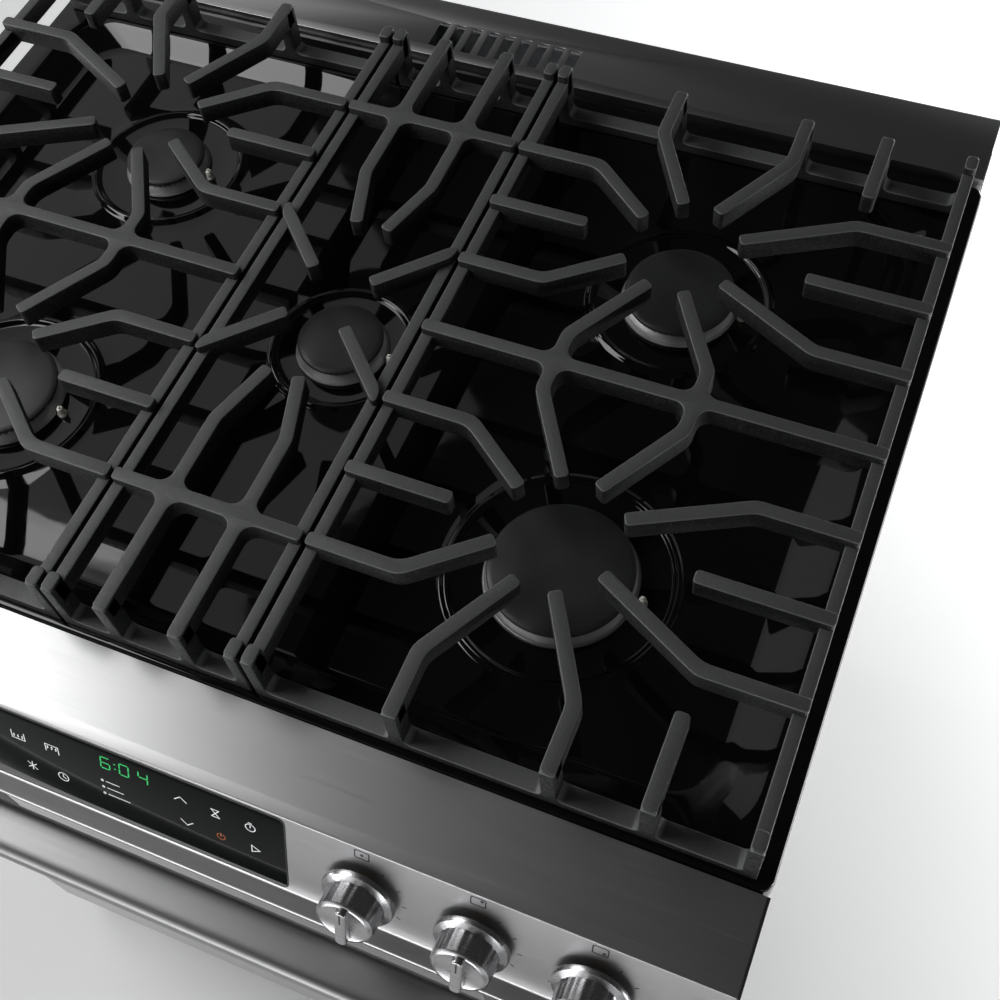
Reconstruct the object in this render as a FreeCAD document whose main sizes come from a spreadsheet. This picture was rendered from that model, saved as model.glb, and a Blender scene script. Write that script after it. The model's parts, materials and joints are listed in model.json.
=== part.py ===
import FreeCAD, Part
import math
import os
import re
import Sketcher

# A freestanding 30-inch gas range. Millimetres; +X is the user's right, +Y points to the
# back wall and +Z is up. The origin is the middle of the range's footprint, on the floor.

Vector = FreeCAD.Vector
os.makedirs("parts", exist_ok=True)
doc = FreeCAD.newDocument("GasRange")
sheet = doc.addObject("Spreadsheet::Sheet", "Dimensions")
doc.recompute()

DIMENSIONS = {
    # overall
    "half_top": 379.5,  # half the width over the cooktop
    "half_body": 378,  # half the width over the side panels
    "back_y": 360,  # rear face of the vent trim
    "body_back": 356,
    "sheet": 1.2,  # thickness of folded steel sheet
    "skin": 1,  # thickness of the door's sheets
    "side_bottom": 30,
    "side_top": 884,
    "flange": 20,
    "back_bottom": 150,
    "base_front": -200,
    "base_top_edge": 56,  # top of the base frame's upturned edges
    # cord gland
    "gland_x": -250,
    "gland_z": 210,
    "gland_hole": 11,
    "gland_head": 15,
    "gland_bore": 5,
    "gland_depth": 4,  # how far the gland reaches in from the back panel
    "gland_flange": 3,
    # cooktop
    "top_front": -237,
    "top_back": 297,
    "rim_top": 906,
    "skirt_bottom": 886,
    "basin_floor": 895,
    "basin_mouth_x": 361,
    "basin_mouth_front": -219,
    "basin_mouth_back": 262,
    "basin_floor_x": 330,
    "basin_floor_front": -200,
    "basin_floor_back": 243,
    # burners
    "burner_x": 206,
    "burner_front": -93,
    "burner_rear": 137,
    "burner_middle": 22,
    "small_cap": 30,
    "medium_cap": 38,
    "large_cap": 40,
    "power_cap": 46,
    "throat": 16,
    "throat_bottom": 866,
    "base_top": 898,
    "head_top": 904,
    "cap_top": 908.5,
    "base_lip": 3,  # how far a base stands out beyond its cap
    "head_inset": 3,
    "base_bore": 6,
    "head_bore": 8,
    "igniter_radius": 2.6,
    "igniter_gap": 6.5,  # from the cap's edge to the igniter on its right
    # rear vent trim
    "trim_gap": 0.4,
    "trim_rise": 6,  # above the cooktop's rim
    "vent_pitch": 14,
    "vent_width": 8,
    "vent_start": 60,
    # grates
    "grate_top": 952,
    "grate_foot": 906.3,
    "low_rail_top": 914,
    "low_rail_width": 11,
    "grate_front": -231,
    "grate_back": 275,
    "finger_width": 9,
    "finger_depth": 15,
    "rail_width": 8,
    "rail_drop": 6,
    "rail_depth": 14,
    "foot_length": 12,
    "centre_grate_half": 65.2,
    "side_grate_inner": 68.2,
    "side_grate_outer": 369.6,
    "low_rail_lap": 1,  # how far the low rails stand out from the legs
    # the grates' fingers; each y is measured from the burner's or the cooktop's middle
    "centre_finger_x": 25,
    "centre_finger_bend": 111,
    "centre_tip_x": 11,
    "centre_tip_y": 65,
    "centre_crossbar": 168.5,
    "diagonal_root_y": 60,
    "diagonal_tip_x": 21,
    "diagonal_tip_y": 20,
    "long_finger_x": 46,
    "long_front_bend": 96,
    "long_rear_bend": 92,
    "long_tip_x": 11.5,
    "long_tip_y": 36,
    "side_tip_x": 33,
    "side_front_root": 53.5,
    "side_front_tip": 17,
    "side_rear_root": 55,
    "side_rear_tip": 21,
    "inner_bend": 78,
    "outer_bend": 102,
    "inner_short": 68,
    "outer_short": 82,
    "stub_x": 308,
    "stub_length": 58,
    # control panel
    "deck_z": 905.5,
    "deck_rear": -237.4,
    "ridge_y": -289,
    "bevel_y": -292,
    "bevel_z": 903.7,
    "panel_slope": 70,
    "toe_y": -316.5,
    "toe_z": 836.5,
    "lip_y": -327,
    "lip_z": 831.5,
    "panel_bottom": 828,
    "panel_half": 377.5,
    "glass_half": 116,
    "glass_height": 66,
    "glass_start": 3,  # from the bevel down the slope to the glass
    "glass_proud": 0.4,
    "glass_sunk": 2,
    "board_margin": 12,  # from the glass's ends to the circuit board's
    "board_depth": 13,  # from the panel's face to the circuit board's rear
    "board_thickness": 1.6,
    # knobs and valves
    "knob_down": 40,  # from the bevel down the slope to a knob's axis
    "knob_gap": 3.6,
    "knob_skirt": 23,
    "knob_body": 18.5,
    "knob_height": 24,
    "knob_skirt_height": 3.5,
    "knob_neck_height": 5.5,
    "knob_crown": 4,  # from the tallest point down to the crown's flat
    "knob_socket": 14,
    "stem_radius": 4,
    "stem_fit": 0.05,
    "stem_reach": 13,  # how far the stem goes into the knob
    "stem_tail": 16,
    "valve_radius": 11,
    "valve_depth": 40,
    "valve_face": 12,  # from the panel's face down to the valve
    "valve_bore": 20,
    "manifold_radius": 10,
    "manifold_wall": 2,
    "manifold_left": -330,
    "manifold_right": 318,
    "pipe_radius": 6,
    "pipe_bend": 14,
    "tube_radius": 3.2,
    "tube_bend": 4.5,
    # gas regulator at the lower right of the back
    "regulator_x": 340,
    "regulator_y": 324,
    "inlet_z": 100,
    "inlet_bore": 9,
    "inlet_face": 349,
    # front frame and oven
    "frame_front": -245,
    "frame_bottom": 208,
    "frame_top": 826,
    "cavity_half": 305,
    "mouth_bottom": 285,
    "liner_bottom": 240,
    "cavity_top": 745,
    "cavity_back": 235,
    "insulation_half": 322,
    "insulation_bottom": 216,
    "insulation_top": 775,
    "insulation_back": 262,
    "bake_z": 262,
    "broil_z": 722,
    "oven_burner_radius": 11,
    "oven_burner_hole": 12,
    "lamp_x": -220,
    "lamp_z": 690,
    "lamp_hole": 18,
    "probe_x": 200,
    "probe_z": 700,
    "probe_radius": 3,
    "floor_slot_x": 260,
    "floor_slot_half": 20,
    "floor_slot_width": 12,
    "duct_half": 70,
    "duct_front": 304,
    "duct_rear": 340,
    "duct_bottom": 700,
    "duct_turn": 740,
    "duct_top": 905,
    # door
    "door_front": -296,
    "door_seam": -262,
    "door_back": -251,
    "door_half": 377,
    "door_bottom": 212,
    "door_top": 822,
    "window_half": 250,
    "window_bottom": 360,
    "window_top": 690,
    "pane": 4,
    "pane_lap": 12,
    "pivot_y": -282,
    "pivot_z": 226,
    "arm_x": 336,
    "arm_half": 4,
    "arm_rear": -195,
    "arm_rise": 5,  # half the arm's height
    "arm_slot": 7,  # half the width of the door's slots for the arms
    "cheek_inner": 7.5,  # the hinge's side plates, from the middle of the arm
    "cheek_outer": 10,
    "hinge_top": 330,
    "receiver_half": 10,
    "receiver_rise": 14,
    "receiver_rear": -190,
    "pin_radius": 3,
    "gasket_radius": 2.7,
    "gasket_half": 325,
    "gasket_bottom": 264,
    "gasket_top": 765,
    "gasket_corner": 24,
    "handle_half": 345,
    "handle_front": -360,
    "handle_rear": -328,
    "handle_low": 798,
    "handle_high": 822,
    "handle_edge": 9,
    "post_width": 22,
    "post_inset": 6,
    "post_drop": 4,
    # drawer
    "drawer_front": -296,
    "drawer_back": 200,
    "drawer_bottom": 60,
    "drawer_top": 203,
    "box_half": 330,
    "box_bottom": 72,
    "box_top": 190,
    "drawer_depth": 20,  # of the drawer's front
    "grip_height": 20,  # of the finger groove under the drawer's top edge
    "grip_depth": 13,
    "runner_bottom": 112,
    "runner_height": 10,
    "rail_front": -235,
    "rail_bottom": 100,
    "rail_top": 134,
    # racks
    "rack_half": 294,
    "rack_front": -212,
    "rack_rear": 228,
    "rack_wire": 3,
    "upper_rack": 610,
    "lower_rack": 430,
    # feet
    "leg_x": 338,
    "leg_front": -180,
    "leg_rear": 318,
    "foot_radius": 17,
    "foot_height": 7,
    "collar_radius": 9,
    "stud_radius": 4,
    "stud_length": 16,
}
for row, (alias, size) in enumerate(DIMENSIONS.items(), start=1):
    sheet.set(f"A{row}", alias)
    sheet.set(f"B{row}", str(size))
    sheet.setAlias(f"B{row}", alias)
doc.recompute()

parts = []  # the finished sub-parts, in the order they are made


def dim(alias):
    """A driving dimension's number."""
    return float(sheet.get(alias))


def formula(text):
    """A formula in the sheet's aliases, as a FreeCAD expression."""
    return re.sub(
        r"[a-z]+(_[a-z]+)*", lambda m: "Dimensions." + m[0] if m[0] in DIMENSIONS else m[0], str(text)
    )


def number(text):
    """What a formula comes to."""
    return float(sheet.evalExpression(formula(text)))


def bind(thing, path, text):
    thing.setExpression(path, formula(text))


def finished(thing, label):
    """Names a sub-part and puts it on the list of pieces to write."""
    thing.Label = label
    parts.append(thing)
    return thing


# ---- Part primitives and booleans ------------------------------------------------------


def box(x, y, z):
    """A block; each of x, y and z is a (low, high) pair of formulas."""
    block = doc.addObject("Part::Box", "Block")
    for axis, size, (low, high) in (("x", "Length", x), ("y", "Width", y), ("z", "Height", z)):
        bind(block, size, f"({high}) - ({low})")
        bind(block, f"Placement.Base.{axis}", low)
    return block


def sided(side, low, high):
    """The pair of formulas (low, high), on the left for side -1 and on the right for 1."""
    return (low, high) if side > 0 else (f"-({high})", f"-({low})")


AXIS_TURNS = {
    "x": FreeCAD.Rotation(Vector(0, 1, 0), 90),
    "y": FreeCAD.Rotation(Vector(1, 0, 0), -90),
    "z": FreeCAD.Rotation(),
}


def rod(axis, base, radius, length):
    """A round bar that starts at base, a triple of formulas, and runs along +axis."""
    bar = doc.addObject("Part::Cylinder", "Rod")
    bind(bar, "Radius", radius)
    bind(bar, "Height", length)
    bar.Placement = FreeCAD.Placement(Vector(), AXIS_TURNS[axis])
    for name, place in zip("xyz", base):
        bind(bar, f"Placement.Base.{name}", place)
    return bar


def fuse(*shapes):
    whole = doc.addObject("Part::MultiFuse", "Fusion")
    whole.Shapes = list(shapes)
    return whole


def group(*shapes):
    """Separate solids that share one sub-part."""
    together = doc.addObject("Part::Compound", "Group")
    together.Links = list(shapes)
    return together


def cut(base, *tools):
    less = doc.addObject("Part::Cut", "Cut")
    less.Base = base
    less.Tool = tools[0] if len(tools) == 1 else group(*tools)
    return less


def mirrored(thing):
    """The same piece on the other side of the range."""
    twin = doc.addObject("Part::Mirroring", "Twin")
    twin.Source = thing
    twin.Normal = Vector(1, 0, 0)
    return twin


def rounded(base, radius, chosen):
    """base with the edges for which chosen(edge) is true rounded to a radius."""
    doc.recompute()
    soft = doc.addObject("Part::Fillet", "Rounded")
    soft.Base = base
    soft.Edges = [
        (index, dim(radius), dim(radius))
        for index, edge in enumerate(base.Shape.Edges, start=1)
        if chosen(edge)
    ]
    return soft


def along(axis):
    """True for straight edges that run along an axis."""
    way = {"x": Vector(1, 0, 0), "y": Vector(0, 1, 0), "z": Vector(0, 0, 1)}[axis]

    def chosen(edge):
        if edge.Curve.TypeId != "Part::GeomLine":
            return False
        return abs(abs(edge.Curve.Direction.dot(way)) - 1) < 1e-6

    return chosen


def tray(x, y, z, open_side, thickness="skin"):
    """A five-sided folded pan whose open side is one of x y z with a sign, such as +y."""
    low = {"x": x[0], "y": y[0], "z": z[0]}
    high = {"x": x[1], "y": y[1], "z": z[1]}
    inner = {}
    for axis in "xyz":
        start = f"{low[axis]} - 5" if open_side == "-" + axis else f"{low[axis]} + {thickness}"
        end = f"{high[axis]} + 5" if open_side == "+" + axis else f"{high[axis]} - {thickness}"
        inner[axis] = (start, end)
    return cut(box(x, y, z), box(inner["x"], inner["y"], inner["z"]))


# ---- PartDesign bodies -----------------------------------------------------------------


def origin_feature(body, role):
    return next(item for item in body.Origin.OriginFeatures if item.Role == role)


def outlined(body, plane, points):
    """A closed outline on one of the body's planes, every corner bound to two formulas."""
    sketch = body.newObject("Sketcher::SketchObject", "Outline")
    sketch.AttachmentSupport = (origin_feature(body, plane), "")
    sketch.MapMode = "FlatFace"
    corners = [Vector(number(x), number(y), 0) for x, y in points]
    count = len(corners)
    for index, corner in enumerate(corners):
        sketch.addGeometry(Part.LineSegment(corner, corners[(index + 1) % count]), False)
    for index, point in enumerate(points):
        sketch.addConstraint(Sketcher.Constraint("Coincident", index, 2, (index + 1) % count, 1))
        for way, text, place in zip(("DistanceX", "DistanceY"), point, corners[index]):
            constraint = sketch.addConstraint(Sketcher.Constraint(way, index, 1, place))
            sketch.setExpression(f"Constraints[{constraint}]", formula(text))
    return sketch


def profiled(points, half_width):
    """A bar of constant side profile, given as (y, z) formulas, centred on the range."""
    body = doc.addObject("PartDesign::Body", "Profile")
    sketch = outlined(body, "YZ_Plane", points)
    pad = body.newObject("PartDesign::Pad", "Pad")
    pad.Profile = sketch
    bind(pad, "Length", f"2 * ({half_width})")
    pad.SideType = "Symmetric"
    body.Tip = pad
    return body


def turned(points, place=FreeCAD.Placement()):
    """A piece turned about its own Z axis, given as (radius, height) formulas."""
    body = doc.addObject("PartDesign::Body", "Turned")
    sketch = outlined(body, "XZ_Plane", points)
    turn = body.newObject("PartDesign::Revolution", "Turn")
    turn.Profile = sketch
    turn.ReferenceAxis = (origin_feature(body, "Z_Axis"), [""])
    turn.Angle = 360
    body.Tip = turn
    body.Placement = place
    return body


# ---- cabinet ---------------------------------------------------------------------------


def make_cabinet():
    inner = "half_body - sheet"
    lip = "half_body - flange"
    wall = box((inner, "half_body"), ("frame_front + sheet", "body_back"), ("side_bottom", "side_top"))
    front = box(
        (lip, inner), ("frame_front + sheet", "frame_front + 2 * sheet"), ("side_bottom", "side_top")
    )
    rear = box((lip, inner), ("body_back - sheet", "body_back"), ("side_bottom", "side_top"))
    top = box((lip, inner), ("frame_front + sheet", "body_back"), ("side_top - sheet", "side_top"))
    right = finished(fuse(wall, front, rear, top), "right_side_panel")
    finished(mirrored(right), "left_side_panel")

    back = box(("1 - half_body", "half_body - 1"), ("body_back", "body_back + sheet"),
               ("back_bottom", "side_top"))
    gland_hole = rod("y", ("gland_x", "body_back - 5", "gland_z"), "gland_hole", 20)
    finished(cut(back, gland_hole), "back_panel")
    inside = "body_back - gland_depth"
    collar = rod("y", ("gland_x", inside, "gland_z"), "gland_hole - 0.1", "2 * gland_depth")
    head = rod("y", ("gland_x", f"{inside} - gland_flange", "gland_z"), "gland_head", "gland_flange")
    bore = rod("y", ("gland_x", "body_back - 10", "gland_z"), "gland_bore", 20)
    finished(cut(fuse(collar, head), bore), "cord_gland")

    plate = box(
        ("sheet - half_body", "half_body - sheet"), ("base_front", "body_back - sheet"),
        ("side_bottom", "side_bottom + sheet"),
    )
    side_flange_room = group(*(
        box(sided(side, lip, "half_body"), ("body_back - sheet - 1", "body_back"),
            ("side_bottom", "base_top_edge"))
        for side in (-1, 1)
    ))
    edge_x, edge_z = (f"2 - ({lip})", f"{lip} - 2"), ("side_bottom", "base_top_edge")
    apron = box(edge_x, ("base_front", "base_front + sheet"), edge_z)
    rear_sill = box(edge_x, ("body_back - 2 * sheet", "body_back - sheet"), edge_z)
    leg_spots = [
        (f"{side} * leg_x", y) for side in (-1, 1) for y in ("leg_front", "leg_rear")
    ]
    holes = [rod("z", (x, y, "side_bottom - 5"), "stud_radius + stem_fit", 20) for x, y in leg_spots]
    finished(cut(fuse(plate, apron, rear_sill), side_flange_room, *holes), "base_frame")
    legs = []
    for x, y in leg_spots:
        foot = rod("z", (x, y, 0), "foot_radius", "foot_height")
        collar = rod("z", (x, y, "foot_height"), "collar_radius", "side_bottom - foot_height")
        stud = rod("z", (x, y, "side_bottom"), "stud_radius", "stud_length")
        legs.append(fuse(foot, collar, stud))
    finished(group(*legs), "leveling_legs")


def make_front_frame():
    plate = box(
        ("1 - half_body", "half_body - 1"), ("frame_front", "frame_front + sheet"),
        ("frame_bottom", "frame_top"),
    )
    mouth = box(
        ("-cavity_half", "cavity_half"), ("frame_front - 5", "frame_front + 10"),
        ("mouth_bottom", "cavity_top"),
    )
    slots = [
        box(
            sided(side, "arm_x - arm_half - 2", "arm_x + arm_half + 2"),
            ("frame_front - 5", "frame_front + sheet"), ("pivot_z - 8", "pivot_z + 8"),
        )
        for side in (-1, 1)
    ]
    receivers = []
    for side in (-1, 1):
        block = box(
            sided(side, "arm_x - receiver_half", "arm_x + receiver_half"),
            ("frame_front + sheet", "receiver_rear"), ("pivot_z - receiver_rise", "pivot_z + receiver_rise"),
        )
        room = box(
            sided(side, "arm_x - arm_half - 1", "arm_x + arm_half + 1"),
            ("frame_front - 5", "arm_rear + 0.1"), ("pivot_z - arm_rise", "pivot_z + arm_rise"),
        )
        receivers.append(cut(block, room))
    finished(fuse(cut(plate, mouth, *slots), *receivers), "front_frame")


# ---- cooktop ---------------------------------------------------------------------------


def frustum(grow):
    """The basin's space, grown by a formula: a sloping-sided tub from floor to rim."""
    tub = doc.addObject("Part::Wedge", "Tub")
    bounds = {
        "Xmin": f"-basin_floor_x - ({grow})", "Xmax": f"basin_floor_x + ({grow})",
        "X2min": f"-basin_mouth_x - ({grow})", "X2max": f"basin_mouth_x + ({grow})",
        "Zmin": f"-basin_floor_back - ({grow})", "Zmax": f"-basin_floor_front + ({grow})",
        "Z2min": f"-basin_mouth_back - ({grow})", "Z2max": f"-basin_mouth_front + ({grow})",
        "Ymin": f"basin_floor - ({grow})", "Ymax": "rim_top",
    }
    for name, text in bounds.items():
        bind(tub, name, text)
    tub.Placement = FreeCAD.Placement(Vector(), FreeCAD.Rotation(Vector(1, 0, 0), 90))
    return tub


BURNERS = (  # name, centre x, centre y, cap radius
    ("left_front", "-burner_x", "burner_front", "large_cap"),
    ("left_rear", "-burner_x", "burner_rear", "small_cap"),
    ("center", "0", "burner_middle", "small_cap"),
    ("right_rear", "burner_x", "burner_rear", "medium_cap"),
    ("right_front", "burner_x", "burner_front", "power_cap"),
)


def make_cooktop():
    outer = box(("-half_top", "half_top"), ("top_front", "top_back"), ("skirt_bottom", "rim_top"))
    under = box(
        ("sheet - half_top", "half_top - sheet"), ("top_front + sheet", "top_back - sheet"),
        ("skirt_bottom - 5", "rim_top - sheet"),
    )
    shell = cut(fuse(cut(outer, under), frustum("sheet")), frustum("0"))
    holes = [rod("z", (x, y, "basin_floor - 10"), "throat + 1", 20) for _, x, y, _ in BURNERS]
    finished(cut(shell, *holes), "cooktop")


def make_rear_trim():
    outer = box(
        ("1 - half_body", "half_body - 1"), ("top_back + trim_gap", "back_y"),
        ("skirt_bottom", "rim_top + trim_rise"),
    )
    under = box(
        ("1 + sheet - half_body", "half_body - sheet - 1"),
        ("top_back + trim_gap + sheet", "back_y - sheet"),
        ("skirt_bottom - 5", "rim_top + trim_rise - sheet"),
    )
    count = 9
    starts = [f"{index} * vent_pitch - vent_start" for index in range(count)]
    slots = [
        box((start, f"{start} + vent_width"), ("duct_front + 4", "duct_rear - 4"),
            ("rim_top", "rim_top + 10"))
        for start in starts
    ]
    finished(cut(outer, under, *slots), "rear_vent_trim")


def make_burners():
    bases, heads, caps, igniters = [], [], [], []
    for _, x, y, cap in BURNERS:
        flange = rod("z", (x, y, "basin_floor"), f"{cap} + base_lip", "base_top - basin_floor")
        throat = rod("z", (x, y, "throat_bottom"), "throat", "basin_floor - throat_bottom")
        bore = rod("z", (x, y, "throat_bottom - 1"), "base_bore", "base_top - throat_bottom + 2")
        bases.append(cut(fuse(flange, throat), bore))
        crown = rod("z", (x, y, "base_top"), f"{cap} - head_inset", "head_top - base_top")
        port = rod("z", (x, y, "base_top - 1"), "head_bore", "head_top - base_top + 2")
        heads.append(cut(crown, port))
        caps.append(rod("z", (x, y, "head_top"), cap, "cap_top - head_top"))
        igniters.append(
            rod("z", (f"{x} + {cap} + igniter_gap", y, "basin_floor"), "igniter_radius",
                "head_top - basin_floor")
        )
    finished(group(*bases), "burner_bases")
    finished(group(*heads), "burner_heads")
    finished(group(*caps), "burner_caps")
    finished(group(*igniters), "igniters")


# ---- grates ----------------------------------------------------------------------------


def stroke(points, width):
    """The outline of a bar of a width along a bent line, mitred at its bends."""
    ways = [(b - a).normalize() for a, b in zip(points, points[1:])]
    left, right = [], []
    for index, point in enumerate(points):
        before = ways[max(index - 1, 0)]
        after = ways[min(index, len(ways) - 1)]
        way = (before + after).normalize()
        side = Vector(-way.y, way.x, 0) * (width / 2 / max(way.dot(after), 0.5))
        left.append(point + side)
        right.append(point - side)
    return left + right[::-1]


def bar(points, width, low, high):
    """A straight-sided bar along a bent line of (x, y) points, between two heights."""
    line = [Vector(x, y, 0) for x, y in points]
    outline = [Vector(p.x, p.y, low) for p in stroke(line, width)]
    return Part.Face(Part.makePolygon(outline + outline[:1])).extrude(Vector(0, 0, high - low))


def grate_shape(fingers, rails, ends):
    """A casting of fingers (bent lines), rails (x values) and ends (x values with feet)."""
    top, foot = dim("grate_top"), dim("grate_foot")
    front, back = dim("grate_front"), dim("grate_back")
    width, rail = dim("finger_width"), dim("rail_width")
    rail_top = top - dim("rail_drop")
    solids = [bar(line, width, top - dim("finger_depth"), top) for line in fingers]
    for x in rails:
        solids.append(bar([(x, front), (x, back)], rail, rail_top - dim("rail_depth"), rail_top))
    for x in rails + ends:
        for start, end in ((front, front + dim("foot_length")), (back - dim("foot_length"), back)):
            thick = rail if x in rails else width
            solids.append(bar([(x, start), (x, end)], thick, foot, top))
    left, right = min(rails) - rail / 2, max(rails) + rail / 2
    low_top, low_width, lap = dim("low_rail_top"), dim("low_rail_width"), dim("low_rail_lap")
    for y in (front - lap + low_width / 2, back + lap - low_width / 2):
        solids.append(bar([(left, y), (right, y)], low_width, foot, low_top))
    envelope = Part.makeBox(
        right - left, back - front + 2 * lap, top - foot, Vector(left, front - lap, foot)
    )
    return solids[0].multiFuse(solids[1:]).common(envelope).removeSplitter()


def both_ways(line, middle):
    """A bent line, and its reflection in the line y = middle."""
    return [line, [(x, 2 * middle - y) for x, y in line]]


def make_grates():
    make_center_grate()
    make_side_grates()


def make_center_grate():
    """Two crossbars, four bent fingers and four diagonal ones, whose roots the rails' faces trim."""
    front, middle = dim("grate_front"), dim("burner_middle")
    edge = dim("centre_grate_half")
    rail = edge - dim("rail_width") / 2
    finger, crossbar = dim("centre_finger_x"), dim("centre_crossbar")
    bend, tip_x, tip_y = dim("centre_finger_bend"), dim("centre_tip_x"), dim("centre_tip_y")
    root_y, diagonal_x, diagonal_y = dim("diagonal_root_y"), dim("diagonal_tip_x"), dim("diagonal_tip_y")
    past = dim("rail_width")
    slope = (root_y - diagonal_y) / (rail - diagonal_x)
    fingers = both_ways([(-edge, middle - crossbar), (edge, middle - crossbar)], middle)
    for side in (-1, 1):
        long_finger = [
            (side * finger, front), (side * finger, middle - bend), (side * tip_x, middle - tip_y)
        ]
        diagonal = [
            (side * (rail + past), middle - root_y - slope * past), (side * diagonal_x, middle - diagonal_y)
        ]
        fingers += both_ways(long_finger, middle) + both_ways(diagonal, middle)
    centre = doc.addObject("Part::Feature", "CentreGrate")
    centre.Shape = grate_shape(fingers, [-rail, rail], [-finger, finger])
    finished(centre, "center_grate")


def make_side_grates():
    """A middle crossbar and, round each burner, four long and six side fingers."""
    front, middle = dim("grate_front"), dim("burner_middle")
    inner, outer = dim("side_grate_inner"), dim("side_grate_outer")
    half_rail = dim("rail_width") / 2
    burner, near = dim("burner_x"), dim("burner_front")
    long_x, tip_x, tip_y = dim("long_finger_x"), dim("long_tip_x"), dim("long_tip_y")
    front_bend, rear_bend = dim("long_front_bend"), dim("long_rear_bend")
    far = 2 * middle - near
    fingers = [[(inner, middle), (outer, middle)]]
    for side in (-1, 1):
        x = burner + side * long_x
        tip = burner + side * tip_x
        fingers += both_ways([(x, front), (x, near - front_bend), (tip, near - tip_y)], middle)
        fingers.append([
            (tip, near + tip_y), (x, near + rear_bend), (x, far - rear_bend), (tip, far - tip_y)
        ])
    side_tip = dim("side_tip_x")
    front_root, rear_root = dim("side_front_root"), dim("side_rear_root")
    front_tip, rear_tip = dim("side_front_tip"), dim("side_rear_tip")
    for start, bend, side, short in (
        (inner, dim("inner_bend"), -1, dim("inner_short")),
        (outer, dim("outer_bend"), 1, dim("outer_short")),
    ):
        knee, tip = burner + side * bend, burner + side * side_tip
        fingers += both_ways([(start, near), (burner + side * short, near)], middle)
        for root, end in ((near - front_root, near - front_tip), (near + rear_root, near + rear_tip)):
            fingers += both_ways([(start, root), (knee, root), (tip, end)], middle)
    stub = dim("stub_x")
    fingers += both_ways([(stub, front), (stub, front + dim("stub_length"))], middle)
    right = doc.addObject("Part::Feature", "RightGrate")
    right.Shape = grate_shape(
        fingers, [inner + half_rail, outer - half_rail], [burner - long_x, burner + long_x, stub]
    )
    finished(right, "right_grate")
    finished(mirrored(right), "left_grate")


# ---- control panel, knobs and gas train ------------------------------------------------

SLOPE = math.radians(dim("panel_slope"))
PANEL_TURN = FreeCAD.Rotation(Vector(1, 0, 0), dim("panel_slope"))


def on_panel(x, down, out=0.0):
    """The placement of a piece on the sloping face: down the slope, and out from it."""
    y = dim("bevel_y") - down * math.cos(SLOPE) - out * math.sin(SLOPE)
    z = dim("bevel_z") - down * math.sin(SLOPE) + out * math.cos(SLOPE)
    return FreeCAD.Placement(Vector(x, y, z), PANEL_TURN)


def panel_block(half, down, height, low, high):
    """A block whose thickness runs out from the sloping face, from low to high."""
    block = doc.addObject("Part::Box", "PanelBlock")
    bind(block, "Length", f"2 * ({half})")
    bind(block, "Width", height)
    bind(block, "Height", f"({high}) - ({low})")
    block.Placement = on_panel(-number(half), down + number(height), low)
    return block


KNOBS = (  # name, centre x
    ("left_front", -305), ("left_rear", -235), ("center", 165), ("right_rear", 235), ("right_front", 305),
)


def panel_outline(inset):
    """The panel's side profile as (y, z) formulas, closed along the sheet's inner side or at the back.

    The inner corners' small numbers are the sheet's thickness, mitred at each fold.
    """
    outer = [
        ("deck_rear", "deck_z"), ("ridge_y", "deck_z"), ("bevel_y", "bevel_z"), ("toe_y", "toe_z"),
        ("lip_y", "lip_z"), ("lip_y", "panel_bottom"), ("frame_front - 2", "panel_bottom"),
    ]
    if not inset:
        return outer + [("frame_front - 2", "side_top + 1"), ("deck_rear", "side_top + 1")]
    inner = [
        ("frame_front - 2", "panel_bottom + sheet"), ("lip_y + sheet", "panel_bottom + sheet"),
        ("lip_y + sheet", "lip_z - 0.9"), ("toe_y + sheet", "toe_z - 1.9"),
        ("bevel_y + sheet + 0.4", "bevel_z - 1"), ("ridge_y + 0.6", "deck_z - sheet"),
        ("deck_rear", "deck_z - sheet"),
    ]
    return outer + inner


def make_control_panel():
    skin = profiled(panel_outline(True), "panel_half")
    window = panel_block("glass_half", dim("glass_start"), "glass_height", -8, 8)
    stem_holes = []
    for _, x in KNOBS:
        hole = doc.addObject("Part::Cylinder", "StemHole")
        bind(hole, "Radius", "stem_radius + 2")
        hole.Height = 20
        hole.Placement = on_panel(x, dim("knob_down"), -12)
        stem_holes.append(hole)
    finished(cut(skin, window, *stem_holes), "control_panel")

    caps = profiled(panel_outline(False), "half_top")
    between = box(
        ("-panel_half", "panel_half"), ("lip_y - 50", "deck_rear + 50"), ("panel_bottom - 50", "deck_z + 50")
    )
    finished(cut(caps, between), "panel_end_caps")

    glass = panel_block(
        "glass_half", dim("glass_start"), "glass_height", -dim("glass_sunk"), dim("glass_proud")
    )
    finished(glass, "display_glass")
    depth = dim("board_depth")
    board = panel_block(
        "glass_half - board_margin", dim("glass_start") + dim("board_margin") / 2,
        "glass_height - board_margin", -depth, dim("board_thickness") - depth,
    )
    finished(board, "display_board")


def make_knobs():
    crown = "knob_height - knob_crown"
    bore = "stem_radius + stem_fit"
    for name, x in KNOBS:
        place = on_panel(x, dim("knob_down"), dim("knob_gap"))
        shell = turned(
            [
                (bore, "0"), ("knob_skirt", "0"), ("knob_skirt", "knob_skirt_height"),
                ("knob_body + 1", "knob_neck_height"), ("knob_body", f"{crown} - 1"),
                ("knob_body - 3", crown), ("0", crown), ("0", "knob_socket"), (bore, "knob_socket"),
            ],
            place,
        )
        finished(shell, f"knob_{name}")
        stem = doc.addObject("Part::Cylinder", "Stem")
        bind(stem, "Radius", "stem_radius")
        bind(stem, "Height", "knob_gap + stem_reach + stem_tail")
        stem.Placement = on_panel(x, dim("knob_down"), -dim("stem_tail"))
        finished(stem, f"valve_stem_{name}")


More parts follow.
